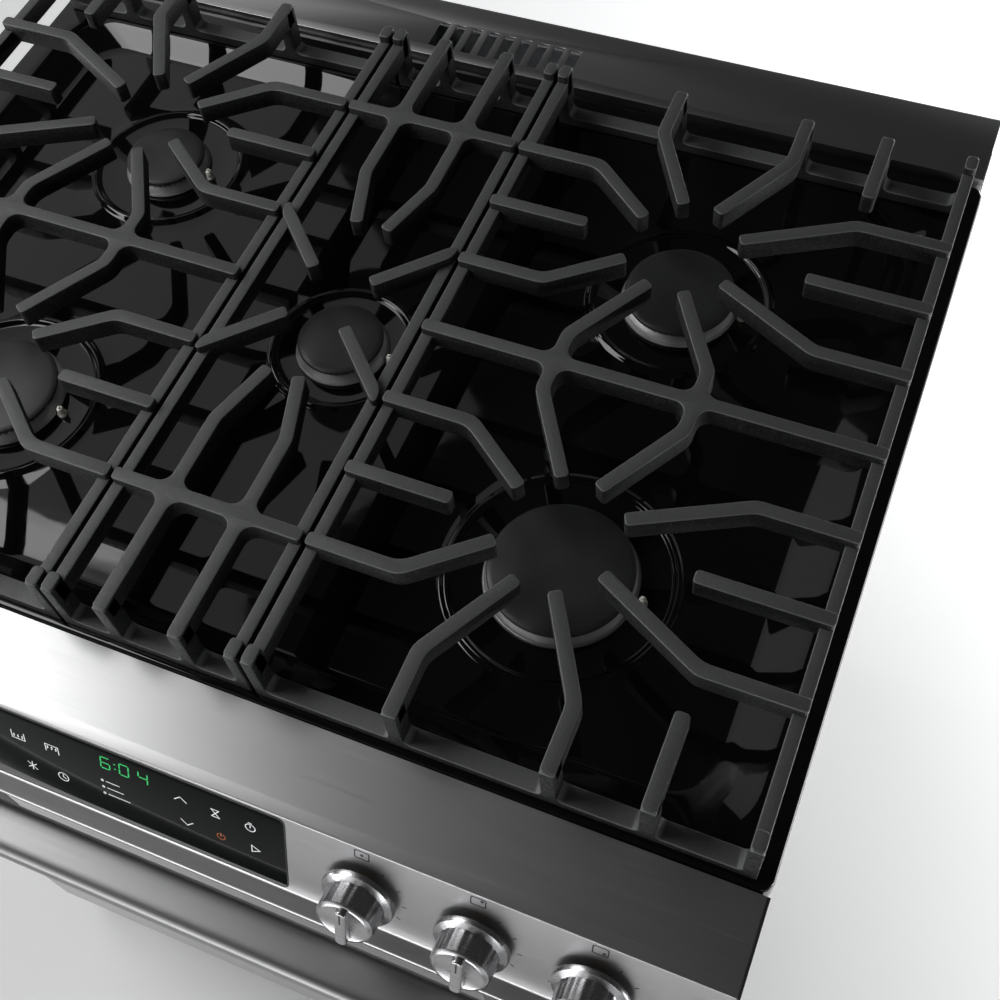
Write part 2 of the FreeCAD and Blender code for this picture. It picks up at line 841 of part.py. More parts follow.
def make_gas_train():
    axis = on_panel(0, dim("knob_down"), -dim("valve_depth") - dim("manifold_radius")).Base
    manifold = rod(
        "x", ("manifold_left", axis.y, axis.z), "manifold_radius", "manifold_right - manifold_left"
    )
    bore = rod(
        "x", ("manifold_left + 5", axis.y, axis.z), "manifold_radius - manifold_wall",
        "manifold_right - manifold_left",
    )
    finished(cut(manifold, bore), "gas_manifold")
    valves = []
    for _, x in KNOBS:
        body = doc.addObject("Part::Cylinder", "Valve")
        bind(body, "Radius", "valve_radius")
        bind(body, "Height", "valve_depth - valve_face")
        body.Placement = on_panel(x, dim("knob_down"), -dim("valve_depth"))
        bore = doc.addObject("Part::Cylinder", "ValveBore")
        bind(bore, "Radius", "stem_radius + stem_fit")
        bind(bore, "Height", "valve_bore")
        bore.Placement = on_panel(x, dim("knob_down"), -dim("valve_bore"))
        valves.append(cut(body, bore))
    finished(group(*valves), "burner_valves")

    make_burner_tubes()
    make_gas_supply(axis)
    module = box((-260, -190), (318, "body_back"), (812, 848))
    finished(rounded(module, "pin_radius", along("y")), "spark_module")


def make_burner_tubes():
    """A tube from each valve's side, under the panel, to its burner's throat."""
    tubes = []
    start = on_panel(0, dim("knob_down"), -26).Base
    outlet_z, sidestep = 864, 14
    turn_y, level_y = -238, -205  # where a tube turns down, and where it has come to its own level
    levels = {"left_front": 861, "right_front": 861, "left_rear": 847, "right_rear": 847, "center": 854}
    for (name, x), (_, burner_x, burner_y, _) in zip(KNOBS, BURNERS):
        side = x + dim("valve_radius") + 0.2
        end_x, end_y = number(burner_x), number(burner_y)
        route = [
            Vector(side, start.y, outlet_z), Vector(side + sidestep, start.y, outlet_z),
            Vector(side + sidestep, turn_y, outlet_z), Vector(side + 8, level_y, levels[name]),
            Vector(end_x, end_y, levels[name]), Vector(end_x, end_y, dim("throat_bottom")),
        ]
        tubes.append(piped(route, dim("tube_radius"), dim("tube_bend")))
    feature = doc.addObject("Part::Feature", "BurnerTubes")
    feature.Shape = Part.makeCompound(tubes)
    finished(feature, "burner_tubes")


def make_gas_supply(manifold_axis):
    """The regulator, and the pipe that rises from it and runs forward to the manifold's end."""
    x, y, inlet_z = dim("regulator_x"), dim("regulator_y"), dim("inlet_z")
    body_half, body_top, outlet_height = 18, 116, 12
    pipe = doc.addObject("Part::Feature", "SupplyPipe")
    route = [
        Vector(x, y, body_top + outlet_height), Vector(x, y, manifold_axis.z),
        Vector(x, manifold_axis.y, manifold_axis.z),
        Vector(dim("manifold_right") + 0.2, manifold_axis.y, manifold_axis.z),
    ]
    pipe.Shape = piped(route, dim("pipe_radius"), dim("pipe_bend"))
    finished(pipe, "supply_pipe")

    body = box((x - body_half, x + body_half), (y - body_half, "inlet_face + 1"), (84, body_top))
    bonnet = rod("z", (x, y, 66), 17, 18)
    outlet = rod("z", (x, y, body_top), "inlet_bore", outlet_height)
    inlet = rod("y", (x, "inlet_face", inlet_z), "inlet_bore + 5", 9)
    thread = rod("y", (x, "inlet_face - 9", inlet_z), "inlet_bore", 20)
    finished(cut(fuse(body, bonnet, outlet, inlet), thread), "gas_regulator")


def piped(route, radius, bend):
    """A round tube along straight runs joined by tangent arcs of one bend radius."""
    edges, start = [], route[0]
    for before, corner, after in zip(route, route[1:], route[2:]):
        inward, onward = (before - corner).normalize(), (after - corner).normalize()
        half_angle = math.acos(max(-1.0, min(1.0, inward.dot(onward)))) / 2
        setback = bend / math.tan(half_angle)
        towards_centre = (inward + onward).normalize()
        centre = corner + towards_centre * (bend / math.sin(half_angle))
        enter, leave = corner + inward * setback, corner + onward * setback
        edges.append(Part.LineSegment(start, enter).toShape())
        edges.append(Part.Arc(enter, centre - towards_centre * bend, leave).toShape())
        start = leave
    edges.append(Part.LineSegment(start, route[-1]).toShape())
    ring = Part.Wire(Part.makeCircle(radius, route[0], route[1] - route[0]))
    return Part.Wire(edges).makePipeShell([ring], True, True)


# ---- oven ------------------------------------------------------------------------------


def oven_holes():
    """What passes through the back of the oven: two burner tubes, the lamp and the duct."""
    start, length = "cavity_back - 35", 80
    return [
        rod("y", (0, start, "bake_z"), "oven_burner_hole", length),
        rod("y", (0, start, "broil_z"), "oven_burner_hole", length),
        rod("y", ("lamp_x", start, "lamp_z"), "lamp_hole", length),
        rod("y", ("probe_x", start, "probe_z"), "probe_radius + 0.5", length),
    ]


def make_oven():
    outer = box(
        ("-cavity_half - sheet", "cavity_half + sheet"), ("frame_front + sheet", "cavity_back + sheet"),
        ("liner_bottom - sheet", "cavity_top + sheet"),
    )
    inner = box(
        ("-cavity_half", "cavity_half"), ("frame_front - 5", "cavity_back"), ("liner_bottom", "cavity_top")
    )
    flue = box(
        ("10 - duct_half", "duct_half - 10"), ("cavity_back - 15", "cavity_back + 15"),
        ("duct_bottom + 8", "duct_turn - 8"),
    )
    finished(cut(outer, inner, flue, *oven_holes()), "oven_liner")

    wrap = box(
        ("-insulation_half", "insulation_half"), ("frame_front + sheet + 2", "insulation_back"),
        ("insulation_bottom", "insulation_top"),
    )
    liner_room = box(
        ("-cavity_half - sheet", "cavity_half + sheet"), ("frame_front - 15", "cavity_back + sheet"),
        ("liner_bottom - sheet", "cavity_top + sheet"),
    )
    duct_room = box(
        ("-duct_half", "duct_half"), ("cavity_back - 15", "insulation_back + 18"),
        ("duct_bottom", "duct_turn"),
    )
    finished(cut(wrap, liner_room, duct_room, *oven_holes()), "oven_insulation")

    floor_panel = box(
        ("3 - cavity_half", "cavity_half - 3"), ("frame_front + sheet + 2", "cavity_back - 4"),
        ("mouth_bottom - 5", "mouth_bottom - 3"),
    )
    slots = [
        box(
            (f"{side} * floor_slot_x - floor_slot_half", f"{side} * floor_slot_x + floor_slot_half"),
            (y, f"{y} + floor_slot_width"), ("mouth_bottom - 9", "mouth_bottom"),
        )
        for side in (-1, 1) for y in range(-180, 200, 60)
    ]
    ledges = [
        box(sided(side, "cavity_half - 12", "cavity_half"), (-200, 200),
            ("mouth_bottom - 9", "mouth_bottom - 5"))
        for side in (-1, 1)
    ]
    finished(cut(floor_panel, *slots), "oven_floor")
    guide_bars = list(ledges)
    for rack in ("upper_rack", "lower_rack"):
        for step in (-60, 0, 60):
            top = f"{rack} + {step} - rack_wire - 0.3"
            for side in (-1, 1):
                guide_bars.append(
                    box(sided(side, "rack_half - 5", "cavity_half"), (-215, 225), (f"{top} - 4", top))
                )
    finished(group(*guide_bars), "rack_guides")

    bake = fuse(
        rod("y", (0, -170, "bake_z"), "oven_burner_radius", 460),
        box((-14, 14), (-170, 180), ("bake_z - 10", "bake_z + 8")),
    )
    finished(bake, "bake_burner")
    broil = fuse(
        rod("y", (0, -100, "broil_z"), "oven_burner_radius", 390),
        box((-90, 90), (-110, 110), ("broil_z - 9", "broil_z + 9")),
    )
    finished(broil, "broil_burner")
    make_oven_lamp()
    finished(rod("y", ("probe_x", 150, "probe_z"), "probe_radius", 110), "temperature_probe")
    make_vent_duct()


def make_oven_lamp():
    """The lamp with its holder, and the lens over it; each point is (radius, distance forward)."""
    lamp_place = FreeCAD.Placement(
        Vector(dim("lamp_x"), dim("cavity_back") + 50, dim("lamp_z")), FreeCAD.Rotation(Vector(1, 0, 0), 90)
    )
    lamp = turned(
        [("0", "0"), ("17", "0"), ("17", "50"), ("8", "52"), ("8", "56"), ("12", "64"), ("12", "74"),
         ("6", "80"), ("0", "81")],
        lamp_place,
    )
    finished(lamp, "oven_lamp")
    lens = turned(
        [("18.5", "50.2"), ("30", "50.2"), ("30", "56"), ("24", "82"), ("12", "90"), ("0", "91"),
         ("0", "88"), ("11", "87"), ("21.5", "80"), ("27", "55"), ("18.5", "53")],
        lamp_place,
    )
    finished(lens, "lamp_lens")


def make_vent_duct():
    """The duct from the oven's back up to the slots in the rear trim."""
    low = box(("-duct_half", "duct_half"), ("cavity_back + sheet", "duct_rear"), ("duct_bottom", "duct_turn"))
    tall = box(("-duct_half", "duct_half"), ("duct_front", "duct_rear"), ("duct_turn - 1", "duct_top"))
    low_room = box(
        ("sheet - duct_half", "duct_half - sheet"), ("cavity_back - 5", "duct_rear - sheet"),
        ("duct_bottom + sheet", "duct_turn - sheet"),
    )
    tall_room = box(
        ("sheet - duct_half", "duct_half - sheet"), ("duct_front + sheet", "duct_rear - sheet"),
        ("duct_turn - 10", "duct_top + 5"),
    )
    finished(cut(fuse(low, tall), low_room, tall_room), "vent_duct")


def rack(label, level):
    """A wire rack: an outer loop, two cross wires and a row of thinner wires."""
    wire = "rack_wire"
    length = "rack_rear - rack_front"
    loop = [
        rod("y", ("-rack_half", "rack_front", level), wire, length),
        rod("y", ("rack_half", "rack_front", level), wire, length),
        rod("x", ("-rack_half", "rack_front", level), wire, "2 * rack_half"),
        rod("x", ("-rack_half", "rack_rear", level), wire, "2 * rack_half"),
        rod("x", ("-rack_half", 0, level), wire, "2 * rack_half"),
    ]
    count = 19
    for index in range(1, count):
        x = f"rack_half * {2 * index / count - 1:.5f}"
        loop.append(rod("y", (x, "rack_front", level), "rack_wire - 1", length))
    for side in (-1, 1):
        for end in ("rack_front", "rack_rear"):
            knuckle = doc.addObject("Part::Sphere", "Corner")
            bind(knuckle, "Radius", wire)
            for axis, place in zip("xyz", (f"{side} * rack_half", end, level)):
                bind(knuckle, f"Placement.Base.{axis}", place)
            loop.append(knuckle)
    finished(fuse(*loop), label)


# ---- door ------------------------------------------------------------------------------


def make_door():
    width = ("-door_half", "door_half")
    height = ("door_bottom", "door_top")
    skin = tray(width, ("door_front", "door_seam"), height, "+y")
    window = box(
        ("-window_half", "window_half"), ("door_front - 5", "door_front + 10"),
        ("window_bottom", "window_top"),
    )
    finished(cut(skin, window, *arm_slots("pivot_y - 8")), "oven_door_panel")

    lap = "pane_lap"
    pane_y = ("door_front + skin", "door_front + skin + pane")
    finished(
        box((f"-window_half - {lap}", f"window_half + {lap}"), pane_y,
            (f"window_bottom - {lap}", f"window_top + {lap}")),
        "oven_door_glass",
    )
    liner = tray(
        ("skin - door_half", "door_half - skin"), ("door_seam", "door_back"),
        ("door_bottom + skin", "door_top - skin"), "-y",
    )
    sight = box(
        ("10 - window_half", "window_half - 10"), ("door_back - 8", "door_back + 5"),
        ("window_bottom + 10", "window_top - 10"),
    )
    finished(cut(liner, sight, *arm_slots("door_seam - 5")), "oven_door_liner")
    finished(
        box(("-window_half - 2", "window_half + 2"), ("door_back - skin - pane", "door_back - skin"),
            ("window_bottom - 2", "window_top + 2")),
        "oven_door_inner_glass",
    )
    make_gasket()
    make_handle()
    make_hinges()


def arm_slots(front):
    """Room for the hinge arms to swing through the door's bottom, from y = front to behind the door."""
    return [
        box(sided(side, "arm_x - arm_slot", "arm_x + arm_slot"), (front, "door_back + 5"),
            ("door_bottom - 5", "pivot_z + 10"))
        for side in (-1, 1)
    ]


def make_gasket():
    """A round cord in a loop with rounded corners, behind the door's edge."""
    half, corner = dim("gasket_half"), dim("gasket_corner")
    low, high = dim("gasket_bottom"), dim("gasket_top")
    y = dim("door_back") + dim("gasket_radius")
    loop = Part.makePolygon([
        Vector(-half, y, low), Vector(half, y, low), Vector(half, y, high), Vector(-half, y, high),
        Vector(-half, y, low),
    ])
    face = Part.Face(loop)
    extent = face.extrude(Vector(0, 1, 0))
    upright = [edge for edge in extent.Edges if abs(edge.tangentAt(edge.FirstParameter).y) > 0.99]
    soft = extent.makeFillet(corner, upright)
    path = next(f for f in soft.Faces if f.CenterOfMass.y < y + 0.01 and abs(f.normalAt(0, 0).y) > 0.99)
    ring = Part.Wire(Part.makeCircle(dim("gasket_radius"), Vector(0, y, low), Vector(1, 0, 0)))
    gasket = doc.addObject("Part::Feature", "Gasket")
    gasket.Shape = path.OuterWire.makePipeShell([ring], True, False)
    finished(gasket, "oven_door_gasket")


def make_handle():
    bar_block = box(
        ("-handle_half", "handle_half"), ("handle_front", "handle_rear"), ("handle_low", "handle_high")
    )
    finished(rounded(bar_block, "handle_edge", along("x")), "oven_door_handle")
    posts = [
        box(sided(side, "handle_half - post_inset - post_width", "handle_half - post_inset"),
            ("handle_rear", "door_front"), ("handle_low + post_drop", "handle_high - post_drop"))
        for side in (-1, 1)
    ]
    finished(group(*posts), "handle_mounts")


def make_hinges():
    """In the door, two cheeks, a web and a pin each side; on the pin, the arm that hooks into the frame."""
    hinges, arms = [], []
    for side in (-1, 1):
        cheeks = [
            box(sided(side, low, high), ("pivot_y - 9", "pivot_y + 18"),
                ("door_bottom + skin + 1", "hinge_top"))
            for low, high in (
                ("arm_x - cheek_outer", "arm_x - cheek_inner"), ("arm_x + cheek_inner", "arm_x + cheek_outer")
            )
        ]
        web = box(
            sided(side, "arm_x - cheek_inner", "arm_x + cheek_inner"), ("pivot_y - 9", "pivot_y - 6.5"),
            ("pivot_z + 19", "hinge_top"),
        )
        pin = rod(
            "x", (f"{side} * arm_x - cheek_inner", "pivot_y", "pivot_z"), "pin_radius", "2 * cheek_inner"
        )
        hinges.append(fuse(*cheeks, web, pin))
        eye = rod("x", (f"{side} * arm_x - arm_half", "pivot_y", "pivot_z"), 7, "2 * arm_half")
        shank = box(
            sided(side, "arm_x - arm_half", "arm_x + arm_half"), ("pivot_y", "arm_rear"),
            ("pivot_z - arm_rise", "pivot_z + arm_rise"),
        )
        hole = rod("x", (f"{side} * arm_x - 10", "pivot_y", "pivot_z"), "pin_radius + stem_fit", 20)
        arms.append(cut(fuse(eye, shank), hole))
    finished(group(*hinges), "oven_door_hinges")
    finished(group(*arms), "hinge_arms")


# ---- storage drawer --------------------------------------------------------------------


def make_drawer():
    groove = "drawer_top - grip_height"
    groove_back = "drawer_front + grip_depth"
    back = "drawer_front + drawer_depth"
    face = profiled(
        [
            ("drawer_front", "drawer_bottom"), ("drawer_front", f"{groove} - 6"),
            ("drawer_front + 5", groove), (groove_back, groove), (groove_back, "drawer_top - 3"),
            ("drawer_front + 6", "drawer_top"), (back, "drawer_top"), (back, "drawer_bottom"),
        ],
        "door_half",
    )
    hollow = box(
        ("skin - door_half", "door_half - skin"), ("drawer_front + skin", f"{back} + 5"),
        ("drawer_bottom + skin", f"{groove} - 8"),
    )
    finished(cut(face, hollow), "storage_drawer_front")
    bin_tray = tray(
        ("-box_half", "box_half"), (back, "drawer_back"), ("box_bottom", "box_top"), "+z"
    )
    runners = [
        box(sided(side, "box_half", "box_half + 4"), ("frame_front + 20", "drawer_back"),
            ("runner_bottom", "runner_bottom + runner_height"))
        for side in (-1, 1)
    ]
    finished(fuse(bin_tray, *runners), "storage_drawer_box")
    rails = []
    length = ("rail_front", "drawer_back")
    for side in (-1, 1):
        web = box(sided(side, "box_half + 5", "box_half + 7"), length, ("rail_bottom", "rail_top"))
        shelf = box(
            sided(side, "box_half + 0.5", "box_half + 5"), length,
            ("runner_bottom - 2.6", "runner_bottom - 0.4"),
        )
        wing = box(
            sided(side, "box_half + 7", "half_body - sheet"), length, ("rail_bottom", "rail_bottom + 2")
        )
        rails.append(fuse(web, shelf, wing))
    finished(group(*rails), "drawer_rails")


# ---- build, check and write ------------------------------------------------------------

make_cabinet()
make_front_frame()
make_cooktop()
make_rear_trim()
make_burners()
make_grates()
make_control_panel()
make_knobs()
make_gas_train()
make_oven()
rack("oven_rack_upper", "upper_rack")
rack("oven_rack_lower", "lower_rack")
make_door()
make_drawer()
doc.recompute()

for thing in doc.Objects:
    if {"Invalid", "Error"} & set(thing.State):
        raise RuntimeError(f"{thing.Name} ({thing.Label}) didn't build: {thing.State}")
for piece in parts:
    if piece.Shape.isNull() or not piece.Shape.isValid() or not piece.Shape.Solids:
        raise RuntimeError(f"{piece.Label} has no valid solid")
for piece in parts:
    piece.Shape.exportStep(f"parts/{piece.Label}.step")
print(len(parts), "sub-parts written")
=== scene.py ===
import json
import math
import bmesh
import bpy
from mathutils import Matrix, Vector

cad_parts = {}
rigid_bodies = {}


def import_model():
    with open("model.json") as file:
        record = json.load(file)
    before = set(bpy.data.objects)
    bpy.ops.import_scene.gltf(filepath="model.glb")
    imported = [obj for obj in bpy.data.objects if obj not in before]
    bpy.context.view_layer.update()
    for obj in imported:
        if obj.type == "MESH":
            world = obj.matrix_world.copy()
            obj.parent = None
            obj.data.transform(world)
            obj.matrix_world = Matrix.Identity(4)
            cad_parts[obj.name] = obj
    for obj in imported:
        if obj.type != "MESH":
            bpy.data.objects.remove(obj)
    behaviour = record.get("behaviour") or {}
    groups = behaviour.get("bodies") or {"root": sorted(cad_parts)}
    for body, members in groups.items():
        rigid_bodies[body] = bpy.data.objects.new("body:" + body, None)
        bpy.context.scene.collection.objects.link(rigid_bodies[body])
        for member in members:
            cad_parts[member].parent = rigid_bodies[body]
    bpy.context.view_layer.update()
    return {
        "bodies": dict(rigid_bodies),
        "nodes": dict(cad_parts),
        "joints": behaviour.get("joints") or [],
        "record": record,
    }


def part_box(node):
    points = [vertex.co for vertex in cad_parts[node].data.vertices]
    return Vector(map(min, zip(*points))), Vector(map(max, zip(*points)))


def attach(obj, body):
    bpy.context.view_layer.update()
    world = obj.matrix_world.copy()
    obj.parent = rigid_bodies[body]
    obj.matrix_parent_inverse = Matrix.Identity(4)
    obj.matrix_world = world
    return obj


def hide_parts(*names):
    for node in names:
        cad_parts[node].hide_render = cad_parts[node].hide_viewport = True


# The looks of a freestanding gas range. Metres; +X is the user's right, +Y points to the back
# wall and +Z is up. Lengths that are easier to read in millimetres are written n * MM.

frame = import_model()
nodes = frame["nodes"]
MM = 0.001


def mm(*values):
    """Lengths in millimetres, as metres."""
    return [value * MM for value in values]


# ---- camera, light and floor ----

CAMERA_PLACE = Vector((0.3602, -0.4367, 1.6140))
CAMERA_AZIMUTH = 28.89  # degrees from +Y towards -X
CAMERA_ELEVATION = 58.73  # degrees below the horizon
CAMERA_ROLL = -7.72
LENS = 47.32
SENSOR = 36.0
BEAM = 110  # degrees that each softbox's grid leaves of its beam
SKY = (0.98, 0.99, 1.0, 1)


def placed(name, data, matrix=Matrix()):
    """A new object in the scene."""
    thing = bpy.data.objects.new(name, data)
    thing.matrix_world = matrix
    bpy.context.scene.collection.objects.link(thing)
    return thing


def make_camera():
    data = bpy.data.cameras.new("camera")
    data.lens = LENS
    data.sensor_width = SENSOR
    data.clip_end = 50
    azimuth, elevation = math.radians(CAMERA_AZIMUTH), math.radians(CAMERA_ELEVATION)
    level = math.cos(elevation)
    forward = Vector((-math.sin(azimuth) * level, math.cos(azimuth) * level, -math.sin(elevation)))
    turn = forward.to_track_quat("-Z", "Y").to_matrix().to_4x4()
    roll = Matrix.Rotation(math.radians(CAMERA_ROLL), 4, "Z")
    place = Matrix.Translation(CAMERA_PLACE) @ turn @ roll
    bpy.context.scene.camera = placed("camera", data, place)


def softbox(name, place, target, width, height, power):
    """A rectangular area light that faces a target, with a grid that narrows its beam."""
    data = bpy.data.lights.new(name, "AREA")
    data.shape = "RECTANGLE"
    data.size = width
    data.size_y = height
    data.energy = power
    data.spread = math.radians(BEAM)
    facing = (Vector(target) - Vector(place)).to_track_quat("-Z", "Y")
    lamp = placed(name, data, Matrix.Translation(place) @ facing.to_matrix().to_4x4())
    lamp.visible_camera = False


def new_node(tree, kind, values=None, **sources):
    """A node with some of its inputs set to values and others fed from sources."""
    node = tree.nodes.new("ShaderNode" + kind)
    for name, value in (values or {}).items():
        node.inputs[name].default_value = value
    for name, source in sources.items():
        tree.links.new(source, node.inputs[name])
    return node


def ranged(tree, source, low, high, start, end):
    """The source, from start to end, as a number from low to high."""
    values = {"From Min": start, "From Max": end, "To Min": low, "To Max": high}
    return new_node(tree, "MapRange", values, Value=source).outputs["Result"]


def make_world():
    """A sky that is pale at the horizon and dim overhead."""
    world = bpy.data.worlds.new("studio")
    world.use_nodes = True
    tree = world.node_tree
    background = tree.nodes["Background"]
    background.inputs["Color"].default_value = SKY
    place = new_node(tree, "TexCoord").outputs["Generated"]
    height = new_node(tree, "SeparateXYZ", Vector=place).outputs["Z"]
    tree.links.new(ranged(tree, height, 0.8, 0.03, 0.02, 0.2), background.inputs["Strength"])
    bpy.context.scene.world = world


def make_lights():
    # the cooktop mirrors the dim panel in its left half only; the key lights the grates from above
    softbox("panel", (-2.1, 1.0, 2.7), (0.0, 0.0, 0.9), 2.4, 2.6, 3.6)
    softbox("key", (-1.1, -0.25, 2.05), (-0.1, 0.0, 0.9), 1.1, 0.9, 6.0)
    softbox("front", (-0.6, -1.5, 1.1), (-0.2, -0.3, 0.7), 1.4, 0.5, 1.2)
    # low lights for the door, the sides, the back and the floor, all under the cooktop's level
    softbox("door", (-0.3, -1.9, 0.55), (0.0, -0.3, 0.5), 1.8, 0.4, 5.0)
    softbox("right", (2.2, 0.4, 0.45), (1.2, 0.3, 0.0), 1.8, 0.6, 28.0)
    softbox("left", (-1.9, 0.0, 0.5), (-0.4, 0.0, 0.35), 1.4, 0.6, 9.0)
    softbox("rear", (0.9, 1.9, 0.5), (0.4, 0.5, 0.2), 2.0, 0.6, 7.0)
    bpy.context.scene.view_settings.view_transform = "Standard"


# ---- procedural materials ----


class Shader:
    """A material under construction: a Principled shader and the patterns that feed it."""

    def __init__(self, name, color, roughness, **sockets):
        self.material = bpy.data.materials.new(name)
        self.material.use_nodes = True
        self.tree = self.material.node_tree
        self.inputs = self.tree.nodes["Principled BSDF"].inputs
        self.color = color
        self.normal = None
        self.inputs["Base Color"].default_value = (*color, 1)
        self.inputs["Roughness"].default_value = roughness
        for socket, value in sockets.items():
            self.inputs[socket.replace("_", " ")].default_value = value

    def pattern(self, kind, size, stretch=(1, 1, 1), output=0, **settings):
        """A texture whose features are about size mm, drawn out along the stretched axes."""
        place = new_node(self.tree, "TexCoord").outputs["Object"]
        scale = [1 / (size * MM * factor) for factor in stretch]
        mapping = new_node(self.tree, "Mapping", {"Scale": scale}, Vector=place)
        texture = new_node(
            self.tree, "Tex" + kind, {"Scale": 1.0, **settings}, Vector=mapping.outputs["Vector"]
        )
        return texture.outputs[output]

    def noise(self, size, detail, stretch=(1, 1, 1)):
        return self.pattern("Noise", size, stretch, Detail=detail)

    def cells(self, size, output="Distance"):
        return self.pattern("Voronoi", size, output=output)

    def facing_up(self):
        """How far the surface faces up: 1 on level tops, 0 on upright sides."""
        normal = new_node(self.tree, "NewGeometry").outputs["Normal"]
        return new_node(self.tree, "SeparateXYZ", Vector=normal).outputs["Z"]

    def tint(self, source, other, start=0.3, end=0.7):
        """Mixes the base colour towards another one, as the source goes from start to end."""
        mix = self.tree.nodes.new("ShaderNodeMix")
        mix.data_type = "RGBA"
        colours = [socket for socket in mix.inputs if socket.type == "RGBA"]
        earlier = self.inputs["Base Color"]
        if earlier.is_linked:
            self.tree.links.new(earlier.links[0].from_socket, colours[0])
        else:
            colours[0].default_value = (*self.color, 1)
        colours[1].default_value = (*other, 1)
        self.tree.links.new(ranged(self.tree, source, 0, 1, start, end), mix.inputs[0])
        result = next(socket for socket in mix.outputs if socket.type == "RGBA")
        self.tree.links.new(result, earlier)

    def rough(self, source, low, high, start=0.3, end=0.7):
        self.tree.links.new(ranged(self.tree, source, low, high, start, end), self.inputs["Roughness"])

    def relief(self, source, depth):
        """Raises the surface by depth mm where the source is 1; reliefs add up."""
        under = {"Normal": self.normal} if self.normal else {}
        bump = new_node(self.tree, "Bump", {"Distance": depth * MM}, Height=source, **under)
        self.normal = bump.outputs["Normal"]
        self.tree.links.new(self.normal, self.inputs["Normal"])
        return self


def brushed_steel(name, color, roughness):
    """Steel with fine brush lines along one axis and a faint larger mottle."""
    steel = Shader(name, color, roughness, Metallic=1.0)
    lines = steel.noise(0.3, 4.0, (300, 1, 1))
    mottle = steel.noise(60, 2.0)
    steel.rough(lines, roughness - 0.04, roughness + 0.05)
    steel.tint(lines, [0.93 * c for c in color])
    steel.tint(mottle, [0.95 * c for c in color], 0.35, 0.75)
    return steel.relief(lines, 0.008).material


def plated_steel():
    """Zinc-coated sheet: a soft grey metal with a faint spangle."""
    zinc = Shader("zinc_steel", (0.5, 0.51, 0.52), 0.42, Metallic=0.85)
    spangle = zinc.cells(9, "Color")
    grain = zinc.noise(2, 4.0)
    zinc.tint(spangle, (0.38, 0.39, 0.41), 0.2, 0.9)
    zinc.rough(spangle, 0.32, 0.52, 0.1, 0.9)
    return zinc.relief(grain, 0.01).material


def painted_sheet(name, color, roughness):
    """Painted or enamelled sheet with the soft unevenness of a sprayed coat."""
    paint = Shader(name, color, roughness)
    coat = paint.noise(2.5, 2.0)
    cloud = paint.noise(90, 3.0)
    paint.rough(cloud, roughness * 0.8, roughness * 1.25)
    paint.tint(cloud, [1.35 * c for c in color], 0.35, 0.8)
    return paint.relief(coat, 0.02).material


def cooktop_porcelain():
    """High-gloss black porcelain enamel, a mirror but for a slight waviness and faint wiping marks."""
    enamel = Shader("cooktop_enamel", (0.0035, 0.0035, 0.004), 0.04, Coat_Weight=0.0)
    wave = enamel.noise(45, 1.0)
    wipe = enamel.noise(8, 5.0, (6, 1, 1))
    enamel.rough(wipe, 0.025, 0.075, 0.35, 0.8)
    return enamel.relief(wave, 0.05).material


def speckled_enamel():
    """Oven enamel: dark blue-grey with fine pale specks."""
    enamel = Shader("oven_enamel", (0.018, 0.021, 0.034), 0.22)
    specks = enamel.cells(3)
    wave = enamel.noise(12, 2.0)
    enamel.tint(specks, (0.35, 0.38, 0.45), 0.16, 0.08)
    enamel.rough(wave, 0.16, 0.32)
    return enamel.relief(wave, 0.04).material


def cast_iron():
    """The grates' matte enamelled iron: painted shade on the upright sides, a painted highlight on the
    rounded top edges, lighter painted tops, fine grit and small pale grains.
    """
    iron = Shader("grate_iron", (0.012, 0.0125, 0.013), 0.5, Specular_IOR_Level=0.4)
    up = iron.facing_up()
    # painted light by facing: upright sides keep the dark colour as painted shade, and faces that tilt up
    # (the rounded top edges) get a painted highlight
    iron.tint(up, (0.17, 0.173, 0.176), 0.2, 0.5)
    # level tops are painted a little darker than the edges but stay lighter than the sides, as painted light
    # from above
    iron.tint(up, (0.085, 0.086, 0.087), 0.9, 0.985)
    grit = iron.noise(0.9, 5.0)
    skin = iron.noise(4, 4.0)
    grains = iron.cells(2.2)
    iron.tint(grit, (0.12, 0.122, 0.124), 0.45, 0.85)
    iron.tint(grains, (0.16, 0.163, 0.166), 0.14, 0.0)
    iron.rough(skin, 0.42, 0.62)
    iron.relief(skin, 0.2)
    return iron.relief(grit, 0.16).material


def cast_alloy():
    """The burner heads' cast aluminium, a little heat-stained."""
    alloy = Shader("burner_alloy", (0.6, 0.6, 0.605), 0.46, Metallic=1.0)
    skin = alloy.noise(1.2, 4.0)
    stain = alloy.noise(25, 2.0)
    alloy.tint(stain, (0.42, 0.415, 0.41), 0.4, 0.75)
    alloy.rough(skin, 0.38, 0.56)
    return alloy.relief(skin, 0.03).material


def cap_coat():
    """The burner caps' matte black enamel."""
    coat = Shader("cap_enamel", (0.02, 0.0205, 0.0215), 0.42)
    grain = coat.noise(1.0, 3.0)
    cloud = coat.noise(30, 2.0)
    coat.tint(cloud, (0.03, 0.031, 0.032), 0.35, 0.75)
    coat.rough(grain, 0.34, 0.5)
    return coat.relief(grain, 0.03).material


def moulded_plastic():
    plastic = Shader("black_plastic", (0.012, 0.012, 0.013), 0.48)
    grain = plastic.cells(0.8)
    cloud = plastic.noise(20, 2.0)
    plastic.tint(cloud, (0.02, 0.02, 0.021))
    return plastic.relief(grain, 0.02).material


def glazed_ceramic():
    glaze = Shader("ceramic_white", (0.82, 0.8, 0.74), 0.18)
    cloud = glaze.noise(4, 2.0)
    glaze.tint(cloud, (0.7, 0.67, 0.6))
    return glaze.relief(cloud, 0.02).material


